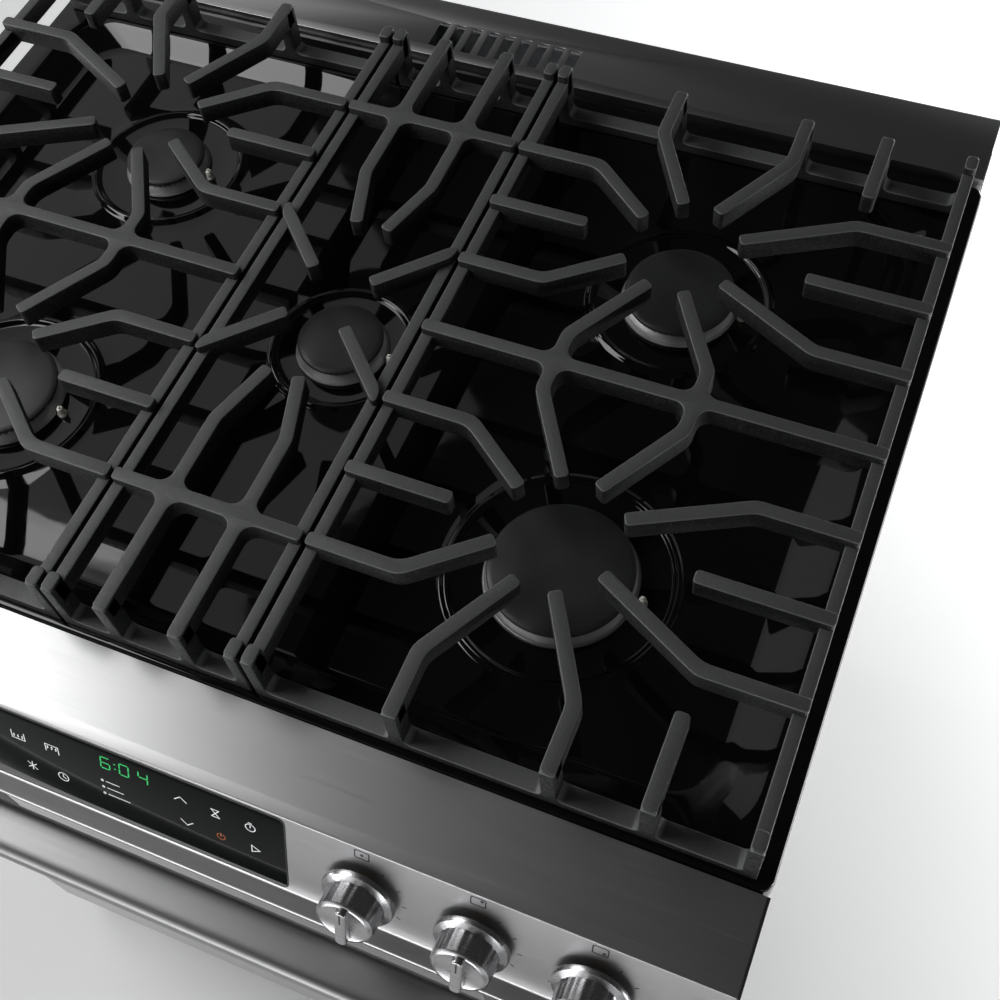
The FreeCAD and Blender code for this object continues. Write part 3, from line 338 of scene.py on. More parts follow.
def solder_mask():
    """A green circuit board with its tracks and solder points."""
    board = Shader("circuit_board", (0.012, 0.09, 0.035), 0.3)
    tracks = board.pattern("Brick", 6, output="Fac")
    points = board.cells(5)
    board.tint(tracks, (0.02, 0.17, 0.06), 0, 1)
    board.tint(points, (0.6, 0.55, 0.4), 0.16, 0.12)
    return board.relief(points, -0.1).material


def machined_brass():
    brass = Shader("brass", (0.62, 0.44, 0.16), 0.3, Metallic=1.0)
    rings = brass.noise(0.5, 2.0, (20, 20, 1))
    stain = brass.noise(12, 2.0)
    brass.tint(stain, (0.45, 0.3, 0.12))
    brass.rough(rings, 0.22, 0.4)
    return brass.relief(rings, 0.01).material


def fibre_blanket():
    """Loose glass wool."""
    wool = Shader("glass_wool", (0.72, 0.68, 0.52), 0.95, Sheen_Weight=0.4)
    fibres = wool.noise(3, 6.0, (5, 1, 1))
    tufts = wool.noise(30, 4.0)
    wool.tint(fibres, (0.82, 0.79, 0.68))
    wool.relief(tufts, 4)
    return wool.relief(fibres, 1).material


def chrome_plate():
    chrome = Shader("chrome_wire", (0.72, 0.72, 0.73), 0.12, Metallic=1.0)
    haze = chrome.noise(3, 3.0)
    chrome.rough(haze, 0.08, 0.2)
    chrome.tint(haze, (0.6, 0.6, 0.61))
    return chrome.relief(haze, 0.01).material


def lamp_glass():
    glass = Shader("lamp_glass", (0.95, 0.95, 0.92), 0.12, Transmission_Weight=0.9)
    ripple = glass.noise(6, 1.0)
    glass.tint(ripple, (0.9, 0.9, 0.86))
    return glass.relief(ripple, 0.2).material


def dark_glass(name, color):
    """Black glass: nearly opaque, with faint wiping marks in its gloss."""
    glass = Shader(name, color, 0.04, IOR=1.3)
    wipe = glass.noise(10, 4.0, (5, 1, 1))
    glass.rough(wipe, 0.02, 0.09, 0.35, 0.8)
    glass.tint(wipe, [1.5 * c for c in color], 0.5, 0.9)
    return glass.material


def braided_fibre():
    """The door gasket's woven sleeve."""
    braid = Shader("gasket_braid", (0.2, 0.2, 0.19), 0.85)
    across = braid.pattern("Wave", 1.5, output="Fac")
    knots = braid.cells(1.2)
    braid.tint(across, (0.34, 0.34, 0.32))
    braid.relief(across, 0.3)
    return braid.relief(knots, 0.3).material


MATERIALS = {
    "side_paint": painted_sheet("side_paint", (0.022, 0.023, 0.025), 0.38),
    "zinc_steel": plated_steel(),
    "black_plastic": moulded_plastic(),
    "black_enamel": painted_sheet("black_enamel", (0.008, 0.008, 0.009), 0.2),
    "cooktop_enamel": cooktop_porcelain(),
    "stainless": brushed_steel("stainless", (0.48, 0.48, 0.485), 0.35),
    "burner_alloy": cast_alloy(),
    "cap_enamel": cap_coat(),
    "ceramic_white": glazed_ceramic(),
    "grate_iron": cast_iron(),
    "display_glass": dark_glass("display_glass", (0.004, 0.005, 0.005)),
    "circuit_board": solder_mask(),
    "brass": machined_brass(),
    "gas_pipe": painted_sheet("gas_pipe", (0.55, 0.42, 0.05), 0.4),
    "oven_enamel": speckled_enamel(),
    "glass_wool": fibre_blanket(),
    "chrome_wire": chrome_plate(),
    "lamp_glass": lamp_glass(),
    "door_glass": dark_glass("door_glass", (0.006, 0.006, 0.007)),
    "gasket_braid": braided_fibre(),
    "handle_steel": brushed_steel("handle_steel", (0.27, 0.27, 0.273), 0.4),
    "knob_metal": brushed_steel("knob_metal", (0.5, 0.5, 0.51), 0.28),
}


def printed_ink(name, color, glow=0.0):
    """A printed or lit mark; its edge is a little uneven, as ink is."""
    ink = Shader(name, color, 0.5)
    grain = ink.noise(0.4, 2.0)
    ink.tint(grain, [0.8 * c for c in color])
    if glow:
        ink.inputs["Emission Color"].default_value = (*color, 1)
        ink.inputs["Emission Strength"].default_value = glow
    return ink.material


WHITE_INK = printed_ink("white_ink", (0.82, 0.84, 0.85), 0.25)
DARK_INK = printed_ink("dark_ink", (0.03, 0.03, 0.032))
AMBER_INK = printed_ink("amber_ink", (0.45, 0.13, 0.03), 0.15)
GREEN_LIGHT = printed_ink("green_light", (0.01, 0.5, 0.12), 0.35)


# ---- mesh work ----

SAME_PLACE = 0.002 * MM  # points this near each other are one point


def bmesh_to_mesh(work):
    bmesh.ops.recalc_face_normals(work, faces=work.faces)
    mesh = bpy.data.meshes.new("piece")
    work.to_mesh(mesh)
    work.free()
    return mesh


def piece(name, mesh, body, slot, replaced=(), material=None, sharp=35):
    """Puts a finished mesh into the scene, riding on a body."""
    thing = placed(name, mesh)
    mesh.materials.clear()
    mesh.materials.append(material or MATERIALS[slot])
    mesh.polygons.foreach_set("use_smooth", [True] * len(mesh.polygons))
    mesh.set_sharp_from_angle(angle=math.radians(sharp))
    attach(thing, body)
    if replaced:
        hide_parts(*replaced)


def opened(*meshes):
    """Several meshes as one bmesh."""
    work = bmesh.new()
    for mesh in meshes:
        work.from_mesh(mesh)
    return work


def joined(*meshes):
    """Several meshes as one."""
    return bmesh_to_mesh(opened(*meshes))


def moved(mesh, matrix):
    mesh.transform(matrix)
    if matrix.determinant() < 0:
        mesh.flip_normals()
    return mesh


def copied(mesh, *matrices):
    """Copies of a mesh, one for each matrix, as one mesh."""
    work = bmesh.new()
    for matrix in matrices:
        twin = mesh.copy()
        twin.transform(matrix)
        work.from_mesh(twin)
        bpy.data.meshes.remove(twin)
    return bmesh_to_mesh(work)


def loft(rings, capped=True):
    """A skin over rings of equally many points."""
    work = bmesh.new()
    rows = [[work.verts.new(point) for point in ring] for ring in rings]
    for below, above in zip(rows, rows[1:]):
        count = len(below)
        for number in range(count):
            after = (number + 1) % count
            work.faces.new((below[number], below[after], above[after], above[number]))
    if capped:
        work.faces.new(rows[0][::-1])
        work.faces.new(rows[-1])
    return bmesh_to_mesh(work)


def turned(profile, segments, flutes=None):
    """A piece turned about Z from (radius, height) points in mm; flutes(angle, height) scales a radius."""
    work = bmesh.new()
    rows = []
    for radius, height in profile:
        if radius == 0:
            rows.append([work.verts.new((0, 0, height * MM))])
            continue
        row = []
        for number in range(segments):
            angle = math.tau * number / segments
            reach = radius * MM * (flutes(angle, height) if flutes else 1)
            row.append(work.verts.new((reach * math.cos(angle), reach * math.sin(angle), height * MM)))
        rows.append(row)
    for below, above in zip(rows, rows[1:]):
        for number in range(segments):
            after = (number + 1) % segments
            corners = [
                below[number % len(below)], below[after % len(below)],
                above[after % len(above)], above[number % len(above)],
            ]
            unique = list(dict.fromkeys(corners))
            if len(unique) > 2:
                work.faces.new(unique)
    return bmesh_to_mesh(work)


ARC_STEP = 12  # degrees of turn for each piece of an arc


def corner_arc(before, corner, after, radius):
    """The points of an arc that rounds a corner, or the corner itself where the line is straight."""
    inward = before - corner
    onward = after - corner
    reach = 0.45 * min(inward.length, onward.length)
    inward.normalize()
    onward.normalize()
    half = math.acos(max(-1, min(1, inward.dot(onward)))) / 2
    turn = math.pi - 2 * half
    if turn < math.radians(1) or radius < 1e-6:
        return [corner]
    setback = min(radius / math.tan(half), reach)
    centre = corner + (inward + onward).normalized() * (setback / math.cos(half))
    start = corner + inward * setback - centre
    end = corner + onward * setback - centre
    steps = max(2, round(math.degrees(turn) / ARC_STEP))
    return [
        centre + (start * math.sin((1 - t) * turn) + end * math.sin(t * turn)) / math.sin(turn)
        for t in (number / steps for number in range(steps + 1))
    ]


def rounded_loop(points, radii):
    """A closed outline with rounded corners; radii is a number or one for each corner."""
    points = [Vector(point) for point in points]
    count = len(points)
    radii = radii if hasattr(radii, "__len__") else [radii] * count
    result = []
    for number in range(count):
        result += corner_arc(points[number - 1], points[number], points[(number + 1) % count], radii[number])
    return result


def rounded_path(points, radii):
    """An open line with its inner corners rounded."""
    points = [Vector(point) for point in points]
    result = [points[0]]
    for before, corner, after, radius in zip(points, points[1:], points[2:], radii):
        result += corner_arc(before, corner, after, radius)
    return result + [points[-1]]


def offset_path(path, distance):
    """The line beside a path of (y, z) points, on its right hand side."""
    result = []
    for number, point in enumerate(path):
        before = (point - path[number - 1]).normalized() if number else None
        after = (path[number + 1] - point).normalized() if number + 1 < len(path) else None
        way = ((before or after) + (after or before)).normalized()
        share = way.dot(before or after)
        result.append(point + Vector((way.y, -way.x)) * (distance / share))
    return result


def rectangle(low_x, high_x, low_y, high_y, radius):
    corners = [(low_x, low_y), (high_x, low_y), (high_x, high_y), (low_x, high_y)]
    return rounded_loop(corners, radius)


def circle(x, y, radius):
    angles = [math.tau * number / 32 for number in range(32)]
    return [Vector((x + radius * math.cos(angle), y + radius * math.sin(angle))) for angle in angles]


def slab(loops, low, high, edge, steps=2):
    """A plate of constant outline between two heights, holes and all, its edges rounded."""
    curve = bpy.data.curves.new("outline", "CURVE")
    curve.dimensions = "2D"
    curve.fill_mode = "BOTH"
    curve.extrude = (high - low) / 2 - edge
    curve.bevel_depth = edge
    curve.bevel_resolution = steps
    curve.offset = -edge
    for loop in loops:
        spline = curve.splines.new("POLY")
        spline.points.add(len(loop) - 1)
        for point, place in zip(spline.points, loop):
            point.co = (place[0], place[1], 0, 1)
        spline.use_cyclic_u = True
    carrier = bpy.data.objects.new("outline", curve)
    mesh = bpy.data.meshes.new_from_object(carrier)
    work = opened(mesh)
    bmesh.ops.remove_doubles(work, verts=work.verts, dist=SAME_PLACE)
    bmesh.ops.translate(work, verts=work.verts, vec=(0, 0, (low + high) / 2))
    bpy.data.objects.remove(carrier)
    bpy.data.curves.remove(curve)
    bpy.data.meshes.remove(mesh)
    return bmesh_to_mesh(work)


def prism(outline, low_x, high_x):
    """A bar of constant side profile, given as (y, z) points, from one x to another."""
    return loft([[(x, point[0], point[1]) for point in outline] for x in (low_x, high_x)])


def softened(mesh, width, angle=30):
    """A mesh with every edge that is sharper than an angle rounded."""
    work = opened(mesh)
    bmesh.ops.remove_doubles(work, verts=work.verts, dist=SAME_PLACE)
    flat = math.radians(0.6)
    bmesh.ops.dissolve_limit(work, angle_limit=flat, verts=work.verts, edges=work.edges, delimit=set())
    limit = math.radians(angle)
    sharp = [edge for edge in work.edges if edge.is_manifold and edge.calc_face_angle() > limit]
    bmesh.ops.bevel(
        work, geom=sharp, offset=width, segments=2, profile=0.5, affect="EDGES", clamp_overlap=True
    )
    return bmesh_to_mesh(work)


def thickened(work, thickness):
    """An open skin that faces up, as a sheet whose thickness lies below it."""
    bmesh.ops.recalc_face_normals(work, faces=work.faces)
    if sum(face.normal.z * face.calc_area() for face in work.faces) < 0:
        bmesh.ops.reverse_faces(work, faces=work.faces)
    bmesh.ops.solidify(work, geom=work.faces[:], thickness=thickness)
    return bmesh_to_mesh(work)


def carved(mesh, *cutters):
    """A mesh less the cutters."""
    base = placed("base", mesh)
    tool = placed("tool", joined(*cutters))
    cut = base.modifiers.new("cut", "BOOLEAN")
    cut.operation = "DIFFERENCE"
    cut.solver = "EXACT"
    cut.object = tool
    bpy.context.view_layer.update()
    evaluated = base.evaluated_get(bpy.context.evaluated_depsgraph_get())
    result = bpy.data.meshes.new_from_object(evaluated)
    for thing in (base, tool):
        bpy.data.objects.remove(thing)
    return result


UPRIGHT = Matrix(((1, 0, 0, 0), (0, 0, -1, 0), (0, 1, 0, 0), (0, 0, 0, 1)))  # local z points to -Y


def facing_front(mesh):
    """Turns a plate drawn in (x, z), with its height measured towards the user, upright."""
    return moved(mesh, UPRIGHT)


def refined(node, slot, width, body="cabinet"):
    """A copy of a CAD piece with its sharp edges rounded, which stands for it."""
    piece(node + "_rounded", softened(nodes[node].data, width), body, slot, [node])


def finished_as_is(slot, *names):
    """CAD pieces whose shape is right: they only get their material."""
    for name in names:
        for place in nodes[name].material_slots:
            place.material = MATERIALS[slot]


# ---- grates ----

FINGER_DEPTH = 15 * MM
RAIL_WIDTH = 8 * MM
RAIL_DROP = 6 * MM
RAIL_DEPTH = 14 * MM
LEG_DEPTH = 12 * MM
LOW_RAIL_HEIGHT = 7.7 * MM
TIP_RADIUS = 2.6 * MM
WEB_RADIUS = 8 * MM
BEND_RADIUS = 16 * MM
FOOT_RADIUS = 5 * MM  # where a leg meets the low rail
BEND_LIMIT = 62  # degrees: a sharper turn is a tip or a web
END_INSET = 0.25 * MM  # keeps the ends' faces off the fingers' own
CAST_EDGE = 0.8 * MM


def flat_outlines(node, height):
    """The outlines of a CAD piece's level faces at a height, as loops of (x, y) points."""
    mesh = nodes[node].data
    following = {}
    places = {}
    for face in mesh.polygons:
        corners = [mesh.vertices[index].co for index in face.vertices]
        level = all(abs(corner.z - height) < 0.02 * MM for corner in corners)
        if not level or face.normal.z < 0.9:
            continue
        keys = [(round(corner.x / (0.01 * MM)), round(corner.y / (0.01 * MM))) for corner in corners]
        places.update(zip(keys, corners))
        for start, end in zip(keys, keys[1:] + keys[:1]):
            if start in following.get(end, ()):
                following[end].remove(start)
            else:
                following.setdefault(start, []).append(end)
    loops = []
    while any(following.values()):
        start = next(key for key, ends in following.items() if ends)
        loop = [start]
        while following[loop[-1]]:
            loop.append(following[loop[-1]].pop())
            if loop[-1] == start:
                break
        loops.append([places[key].xy for key in loop[:-1]])
    return [straightened(loop) for loop in loops]


def directions(loop):
    """The way into and out of each point of a loop, as (point, before, after)."""
    for number, point in enumerate(loop):
        before = (point - loop[number - 1]).normalized()
        after = (loop[(number + 1) % len(loop)] - point).normalized()
        yield point, before, after


def straightened(loop):
    """A loop without the points that lie on a straight line between their neighbours."""
    return [point for point, before, after in directions(loop) if before.dot(after) < 0.99995]


def cast_corners(loop):
    """A radius for each corner of a casting: small at tips, wide in webs and at a finger's bends."""
    radii = []
    for _, before, after in directions(loop):
        turn = math.degrees(math.atan2(before.cross(after), before.dot(after)))
        if abs(turn) < BEND_LIMIT:
            radii.append(BEND_RADIUS)
        else:
            radii.append(TIP_RADIUS if turn > 0 else WEB_RADIUS)
    return radii


def comb(legs, low, high, foot, rail_top, top):
    """A grate's end seen from the front: a low rail with legs, as one outline of (x, z) points."""
    points = [(low, foot), (high, foot)]
    radii = mm(1, 1)
    for start, end in sorted(legs, reverse=True):
        if abs(end - high) > 0.5 * MM:
            points.append((end, rail_top))
            radii.append(FOOT_RADIUS)
        points += [(end, top), (start, top)]
        radii += [TIP_RADIUS, TIP_RADIUS]
        if abs(start - low) > 0.5 * MM:
            points.append((start, rail_top))
            radii.append(FOOT_RADIUS)
    return rounded_loop(points, radii)


def make_grate(name):
    """A grate cast from the CAD outline of its fingers, two side rails and two legged ends."""
    low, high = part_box(name)
    loops = flat_outlines(name, high.z)
    front = min(point.y for loop in loops for point in loop)
    legs = []
    for loop in loops:
        for number, point in enumerate(loop):
            other = loop[number - 1]
            if abs(point.y - front) < 0.05 * MM and abs(other.y - front) < 0.05 * MM:
                legs.append(tuple(sorted((point.x, other.x))))
    fingers = [rounded_loop(loop, cast_corners(loop)) for loop in loops]
    castings = [slab(fingers, high.z - FINGER_DEPTH, high.z, CAST_EDGE)]
    rail_top = high.z - RAIL_DROP
    for start in (low.x, high.x - RAIL_WIDTH):
        outline = rectangle(start, start + RAIL_WIDTH, low.y + 3 * MM, high.y - 3 * MM, 1 * MM)
        castings.append(slab([outline], rail_top - RAIL_DEPTH, rail_top, CAST_EDGE))
    end = comb(legs, low.x, high.x, low.z, low.z + LOW_RAIL_HEIGHT, high.z - 0.1 * MM)
    for face in (low.y + END_INSET, high.y - LEG_DEPTH - END_INSET):
        castings.append(facing_front(slab([end], -face - LEG_DEPTH, -face, CAST_EDGE)))
    piece(name + "_casting", joined(*castings), name, "grate_iron", [name])


# ---- cooktop and burners ----

BURNERS = {  # name: (x, y, cap radius, radius of the raised ring round it), in mm
    "left_front": (-206, -93, 40, 66),
    "left_rear": (-206, 137, 30, 57),
    "center": (0, 22, 30, 50),
    "right_rear": (206, 137, 38, 62),
    "right_front": (206, -93, 46, 72),
}
FLOOR_Z = 895 * MM
FLOOR = (Vector((-330, -200)) * MM, Vector((330, 243)) * MM)
MOUTH = (Vector((-361, -219)) * MM, Vector((361, 262)) * MM)
BASIN_CORNER = 34 * MM
RIM_CORNER = 9 * MM
ROLL = 3 * MM  # the radius of the pan's rolled rim
COLUMN = 103 * MM  # the middle tile's half width
ROW = 22 * MM  # where the front tiles meet the rear ones
TILE_STEPS = 36
HOLE_RADIUS = 17 * MM
BEAD_HALF = 4.5 * MM  # half the width of the raised ring round a burner
BEAD_HEIGHT = 2.4 * MM
IGNITER_GAP = 6.5  # from the cap's edge, in mm
CREASE = 0.16  # how far each crease reaches, as a share of the slope
SHEET = 1.2 * MM


def on_rounded(point, low, high, radius):
    """A point of a rectangle's edge, moved onto the same rectangle with round corners."""
    x = min(max(point.x, low.x + radius), high.x - radius)
    y = min(max(point.y, low.y + radius), high.y - radius)
    core = Vector((x, y))
    away = point - core
    if abs(away.x) < 1e-9 or abs(away.y) < 1e-9:
        return point.copy()
    return core + away.normalized() * radius


def spaced(start, end, steps=TILE_STEPS):
    """Evenly spaced numbers from the start up to, but without, the end."""
    return [start + (end - start) * n / steps for n in range(steps)]


def around(low, high, xs, ys):
    """The points of a rectangle's edge, anticlockwise from its low corner, at the given xs and ys."""
    points = [Vector((x, low.y)) for x in xs] + [Vector((high.x, y)) for y in ys]
    points += [Vector((x, high.y)) for x in [high.x] + xs[:0:-1]]
    return points + [Vector((low.x, y)) for y in [high.y] + ys[:0:-1]]


def tile_edge(low, high, steps_x, steps_y):
    return around(low, high, spaced(low.x, high.x, steps_x), spaced(low.y, high.y, steps_y))


def eased_ramp(t):
    """0 before 0, 1 after 1 and straight between, with both bends rounded over CREASE."""
    if t > 0.5:
        return 1 - eased_ramp(1 - t)
    if t < -CREASE:
        return 0.0
    if t < CREASE:
        return (t + CREASE) ** 2 / (4 * CREASE)
    return t


def between(pair_a, pair_b, t):
    return pair_a[0].lerp(pair_b[0], t), pair_a[1].lerp(pair_b[1], t)


def shrunk(low, high, inset):
    """A rectangle's low and high corners, drawn in on every side."""
    return low + Vector((inset, inset)), high - Vector((inset, inset))


def fitted_ring(edge, old, new, radius, height):
    """A ring of points at a height: the edge of the old rectangle, stretched onto the new, rounded one."""
    ring_points = []
    for point in edge:
        share_x = (point.x - old[0].x) / (old[1].x - old[0].x)
        share_y = (point.y - old[0].y) / (old[1].y - old[0].y)
        x = new[0].x + (new[1].x - new[0].x) * share_x
        y = new[0].y + (new[1].y - new[0].y) * share_y
        ring_points.append((*on_rounded(Vector((x, y)), *new, radius), height))
    return ring_points


def burner_tile(low, high, steps_y, outer, burner):
    """The rings of one tile of the basin's floor, from the burner's hole to the tile's edge."""
    x, y, cap, raised = mm(*BURNERS[burner])
    centre = Vector((x, y))
    edge = [on_rounded(point, *outer, BASIN_CORNER) for point in tile_edge(low, high, TILE_STEPS, steps_y)]
    stations = [(HOLE_RADIUS, 0), (cap + 4 * MM, 0)]
    count = 12
    for number in range(count + 1):
        away = BEAD_HALF * (2 * number / count - 1)
        lift = BEAD_HEIGHT * 0.5 * (1 + math.cos(math.pi * away / BEAD_HALF))
        stations.append((raised + away, lift))
    ways = [(point - centre).normalized() for point in edge]
    rings = [[(*(centre + way * radius), FLOOR_Z + lift) for way in ways] for radius, lift in stations]
    outermost = rings[-1]
    steps = 7
    for number in range(1, steps + 1):
        t = number / steps
        rings.append([(*Vector(near[:2]).lerp(point, t), FLOOR_Z) for near, point in zip(outermost, edge)])
    return rings


def basin_floor(inner):
    """The basin's floor as five tiles, one round each burner."""
    west, south = inner[0]
    east, north = inner[1]
    tiles = {
        "left_front": (west, south, -COLUMN, ROW, TILE_STEPS),
        "left_rear": (west, ROW, -COLUMN, north, TILE_STEPS),
        # its sides meet two tiles each, so its points are spaced as theirs are
        "center": (-COLUMN, south, COLUMN, north, 2 * TILE_STEPS),
        "right_rear": (COLUMN, ROW, east, north, TILE_STEPS),
        "right_front": (COLUMN, south, east, ROW, TILE_STEPS),
    }
    for burner, (low_x, low_y, high_x, high_y, steps_y) in tiles.items():
        corners = Vector((low_x, low_y)), Vector((high_x, high_y))
        yield loft(burner_tile(*corners, steps_y, inner, burner), capped=False)


def make_cooktop():
    low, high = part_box("cooktop")
    inner = between(FLOOR, MOUTH, -CREASE)
    west, south = inner[0]
    east, north = inner[1]
    # spaced as the tiles' own edges are
    xs = spaced(west, -COLUMN) + spaced(-COLUMN, COLUMN) + spaced(COLUMN, east)
    edge = around(*inner, xs, spaced(south, ROW) + spaced(ROW, north))
    rings = []
    samples = 22
    for number in range(samples + 1):
        t = -CREASE + (1 + 2 * CREASE) * number / samples
        height = FLOOR_Z + (high.z - FLOOR_Z) * eased_ramp(t)
        rings.append(fitted_ring(edge, inner, between(FLOOR, MOUTH, t), BASIN_CORNER, height))
    angles = [n * math.pi / 12 for n in range(7)]
    rim = [(ROLL + 1 * MM, 0)]
    rim += [(ROLL * (1 - math.sin(angle)), ROLL * (1 - math.cos(angle))) for angle in angles]
    rim += [(0, high.z - low.z)]
    for inset, drop in rim:
        rect = shrunk(low.xy, high.xy, inset)
        rings.append(fitted_ring(edge, inner, rect, RIM_CORNER - inset, high.z - drop))
    work = opened(*basin_floor(inner), loft(rings, capped=False))
    bmesh.ops.remove_doubles(work, verts=work.verts, dist=0.01 * MM)
    piece("cooktop_pan", thickened(work, SHEET), "cabinet", "cooktop_enamel", ["cooktop"], sharp=50)


PORT_SHARE = 0.34  # how much of a burner head's circumference is port


def ports(count, depth, low, high):
    """A flute function: gas ports cut into a burner head between two heights."""
    def factor(angle, height):
        in_port = (angle * count / math.tau) % 1 < PORT_SHARE
        return 1 - depth if in_port and low < height < high else 1
    return factor


def from_cap(cap, *points):
    """Profile points whose radii are measured from the cap's edge."""
    return [(cap + out, height) for out, height in points]


def burner_base(cap):
    rim = from_cap(cap, (1, 895.2), (2.6, 895.5), (3, 896.2), (2.8, 897), (2.2, 897.9), (1.4, 898.2))
    return turned([(6, 866), (16, 866), (16, 895.2), *rim, (6, 898.2), (6, 866)], 96)


def burner_head(cap):
    flank = from_cap(
        cap, (2.0, 898.2), (1.8, 898.8), (0.2, 900.6), (-1.4, 902.2), (-1.5, 902.3), (-1.9, 903.1),
        (-2.0, 903.2), (-2.6, 903.4),
    )
    count = 3 * round(cap / 2)
    cut = ports(count, 0.05, 902.25, 903.15)
    return turned([(8, 898.2), *flank, (8, 903.4), (8, 898.2)], count * 6, cut)


def burner_cap(cap):
    rim = 1.5
    angles = [math.pi * (n / 8 - 0.5) for n in range(1, 8)]
    nose = [(cap - rim + rim * math.cos(angle), 905.7 + rim * math.sin(angle)) for angle in angles]
    crown = [(cap - 4, 907.9), (cap * 0.5, 908.3), (0, 908.4)]
    return turned([(0, 904.2), (cap - 1.2, 904.2), *nose, *crown], 96)


def igniter():
    """A glazed post with a fine electrode on top."""
    return turned([
        (0, 895), (3.4, 895), (3.4, 896.4), (2.6, 896.8), (2.5, 901), (1.9, 902), (0.9, 902.2), (0.9, 903.7),
        (0, 904),
    ], 24)


def make_burners():
    bases, heads, caps, igniters = [], [], [], []
    for x, y, cap, _ in BURNERS.values():
        place = Matrix.Translation(mm(x, y, 0))
        bases.append(moved(burner_base(cap), place))
        heads.append(moved(burner_head(cap), place))
        caps.append(moved(burner_cap(cap), place))
        igniters.append(moved(igniter(), Matrix.Translation(mm(x + cap + IGNITER_GAP, y, 0))))
    piece("burner_bases_cast", joined(*bases), "cabinet", "burner_alloy", ["burner_bases"])
    piece("burner_heads_ported", joined(*heads), "cabinet", "burner_alloy", ["burner_heads"], sharp=25)
    piece("burner_caps_enamelled", joined(*caps), "cabinet", "cap_enamel", ["burner_caps"], sharp=50)
    piece("igniter_pins", joined(*igniters), "cabinet", "ceramic_white", ["igniters"])


# ---- control panel ----

SLOPE = math.radians(70)
GLASS_TOP = 3 * MM  # from the panel's ridge down its face to the glass
GLASS_BOTTOM = 69 * MM  # from the ridge down to its lower edge
GLASS_PROUD = 0.4 * MM
GLASS_HALF = 116 * MM
PANEL_BACK_Y = -247 * MM
PANEL_CORE_Z = 885 * MM  # how far down the ends reach behind the deck
KNOB_DOWN = 40 * MM
KNOB_GAP = 3.6 * MM


def panel_frame():
    """The sloping face's own frame: x to the right, y up the slope and z out from it."""
    low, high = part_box("display_glass")
    y = low.y + GLASS_BOTTOM * math.cos(SLOPE) + GLASS_PROUD * math.sin(SLOPE)
    z = high.z + GLASS_TOP * math.sin(SLOPE) - GLASS_PROUD * math.cos(SLOPE)
    up = Vector((0, math.cos(SLOPE), math.sin(SLOPE)))
    out = Vector((0, -math.sin(SLOPE), math.cos(SLOPE)))
    return Matrix((
        (1, up.x, out.x, 0), (0, up.y, out.y, y), (0, up.z, out.z, z), (0, 0, 0, 1),
    ))


PANEL = panel_frame()


def knob_names():
    return [name for name in nodes if name.startswith("knob_")]


def knob_x(name):
    low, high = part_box(name)
    return (low.x + high.x) / 2


def panel_path():
    """The panel's outer face seen from its right end, from the cooktop to behind the door's top."""
    low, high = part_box("control_panel")
    deck = high.z
    slope_top = PANEL.translation
    ridge_y = slope_top.y + (deck - slope_top.z) / math.tan(SLOPE)
    bend = (ridge_y + 7 * MM, deck)
    brow = (ridge_y - 0.62 * MM, deck - 1.7 * MM)  # a point of the sloping face; a soft bend leads to it
    toe = mm(-316.5, 836.5)
    lip = (low.y, 831.5 * MM)
    foot = (low.y, low.z)
    points = [(high.y, deck), bend, brow, toe, lip, foot, (PANEL_BACK_Y, low.z)]
    return rounded_path(points, mm(5, 1, 3, 2.5, 1.2))


def glass_outline(grow, radius):
    """The display glass's outline on the sloping face, grown on every side."""
    return rectangle(-GLASS_HALF - grow, GLASS_HALF + grow, -GLASS_BOTTOM - grow, grow - GLASS_TOP, radius)


def make_control_panel():
    """The folded sheet, with its openings for the glass and the knobs' stems, and its solid ends."""
    outer = panel_path()
    inner = offset_path(outer, -SHEET)
    low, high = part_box("control_panel")
    shell = prism(outer + inner[::-1], low.x, high.x)
    cutters = [moved(slab([glass_outline(*mm(0.3, 4))], *mm(-8, 8, 0)), PANEL)]
    for name in knob_names():
        hole = slab([circle(knob_x(name), -KNOB_DOWN, 6 * MM)], *mm(-6, 6, 0))
        cutters.append(moved(hole, PANEL))
    piece("control_panel_folded", carved(shell, *cutters), "cabinet", "stainless", ["control_panel"])

    outline = [*outer, Vector((PANEL_BACK_Y, PANEL_CORE_Z)), Vector((high.y, PANEL_CORE_Z))]
    side_low, side_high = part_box("panel_end_caps")
    ends = joined(prism(outline, side_low.x, low.x), prism(outline, high.x, side_high.x))
    mesh = softened(ends, 0.4 * MM)
    piece("panel_end_caps_rounded", mesh, "cabinet", "black_plastic", ["panel_end_caps"])


def make_display():
    """The glass and the thin black bezel round it."""
    pane = moved(slab([glass_outline(0, 4 * MM)], -2 * MM, GLASS_PROUD, 0.25 * MM), PANEL)
    piece("display_window", pane, "cabinet", "display_glass", ["display_glass"], sharp=50)
    outlines = [glass_outline(*mm(0.8, 4.8)), glass_outline(*mm(-0.1, 4))]
    bezel = moved(slab(outlines, *mm(-1, 0.45, 0.2)), PANEL)
    piece("display_bezel", bezel, "cabinet", "black_plastic", sharp=50)


INK_DEPTH = 0.05 * MM


def strokes(lines, width, height):
    """Flat marks along bent lines of (x, y) points, on the panel's face."""
    bars = []
    for line in lines:
        for start, end in zip(line, line[1:]):
            start, end = Vector(start), Vector(end)
            way = (end - start).normalized() * (width / 2)
            side = Vector((-way.y, way.x))
            corners = [start - way - side, end + way - side, end + way + side, start - way + side]
            bars.append(loft([[(*corner, z) for corner in corners] for z in (height, height + INK_DEPTH)]))
    return moved(joined(*bars), PANEL)


def ring(x, y, radius, start=0, end=360, count=20):
    """An arc as a bent line of points."""
    angles = [math.radians(start + (end - start) * n / count) for n in range(count + 1)]
    return [(x + radius * math.cos(angle), y + radius * math.sin(angle)) for angle in angles]


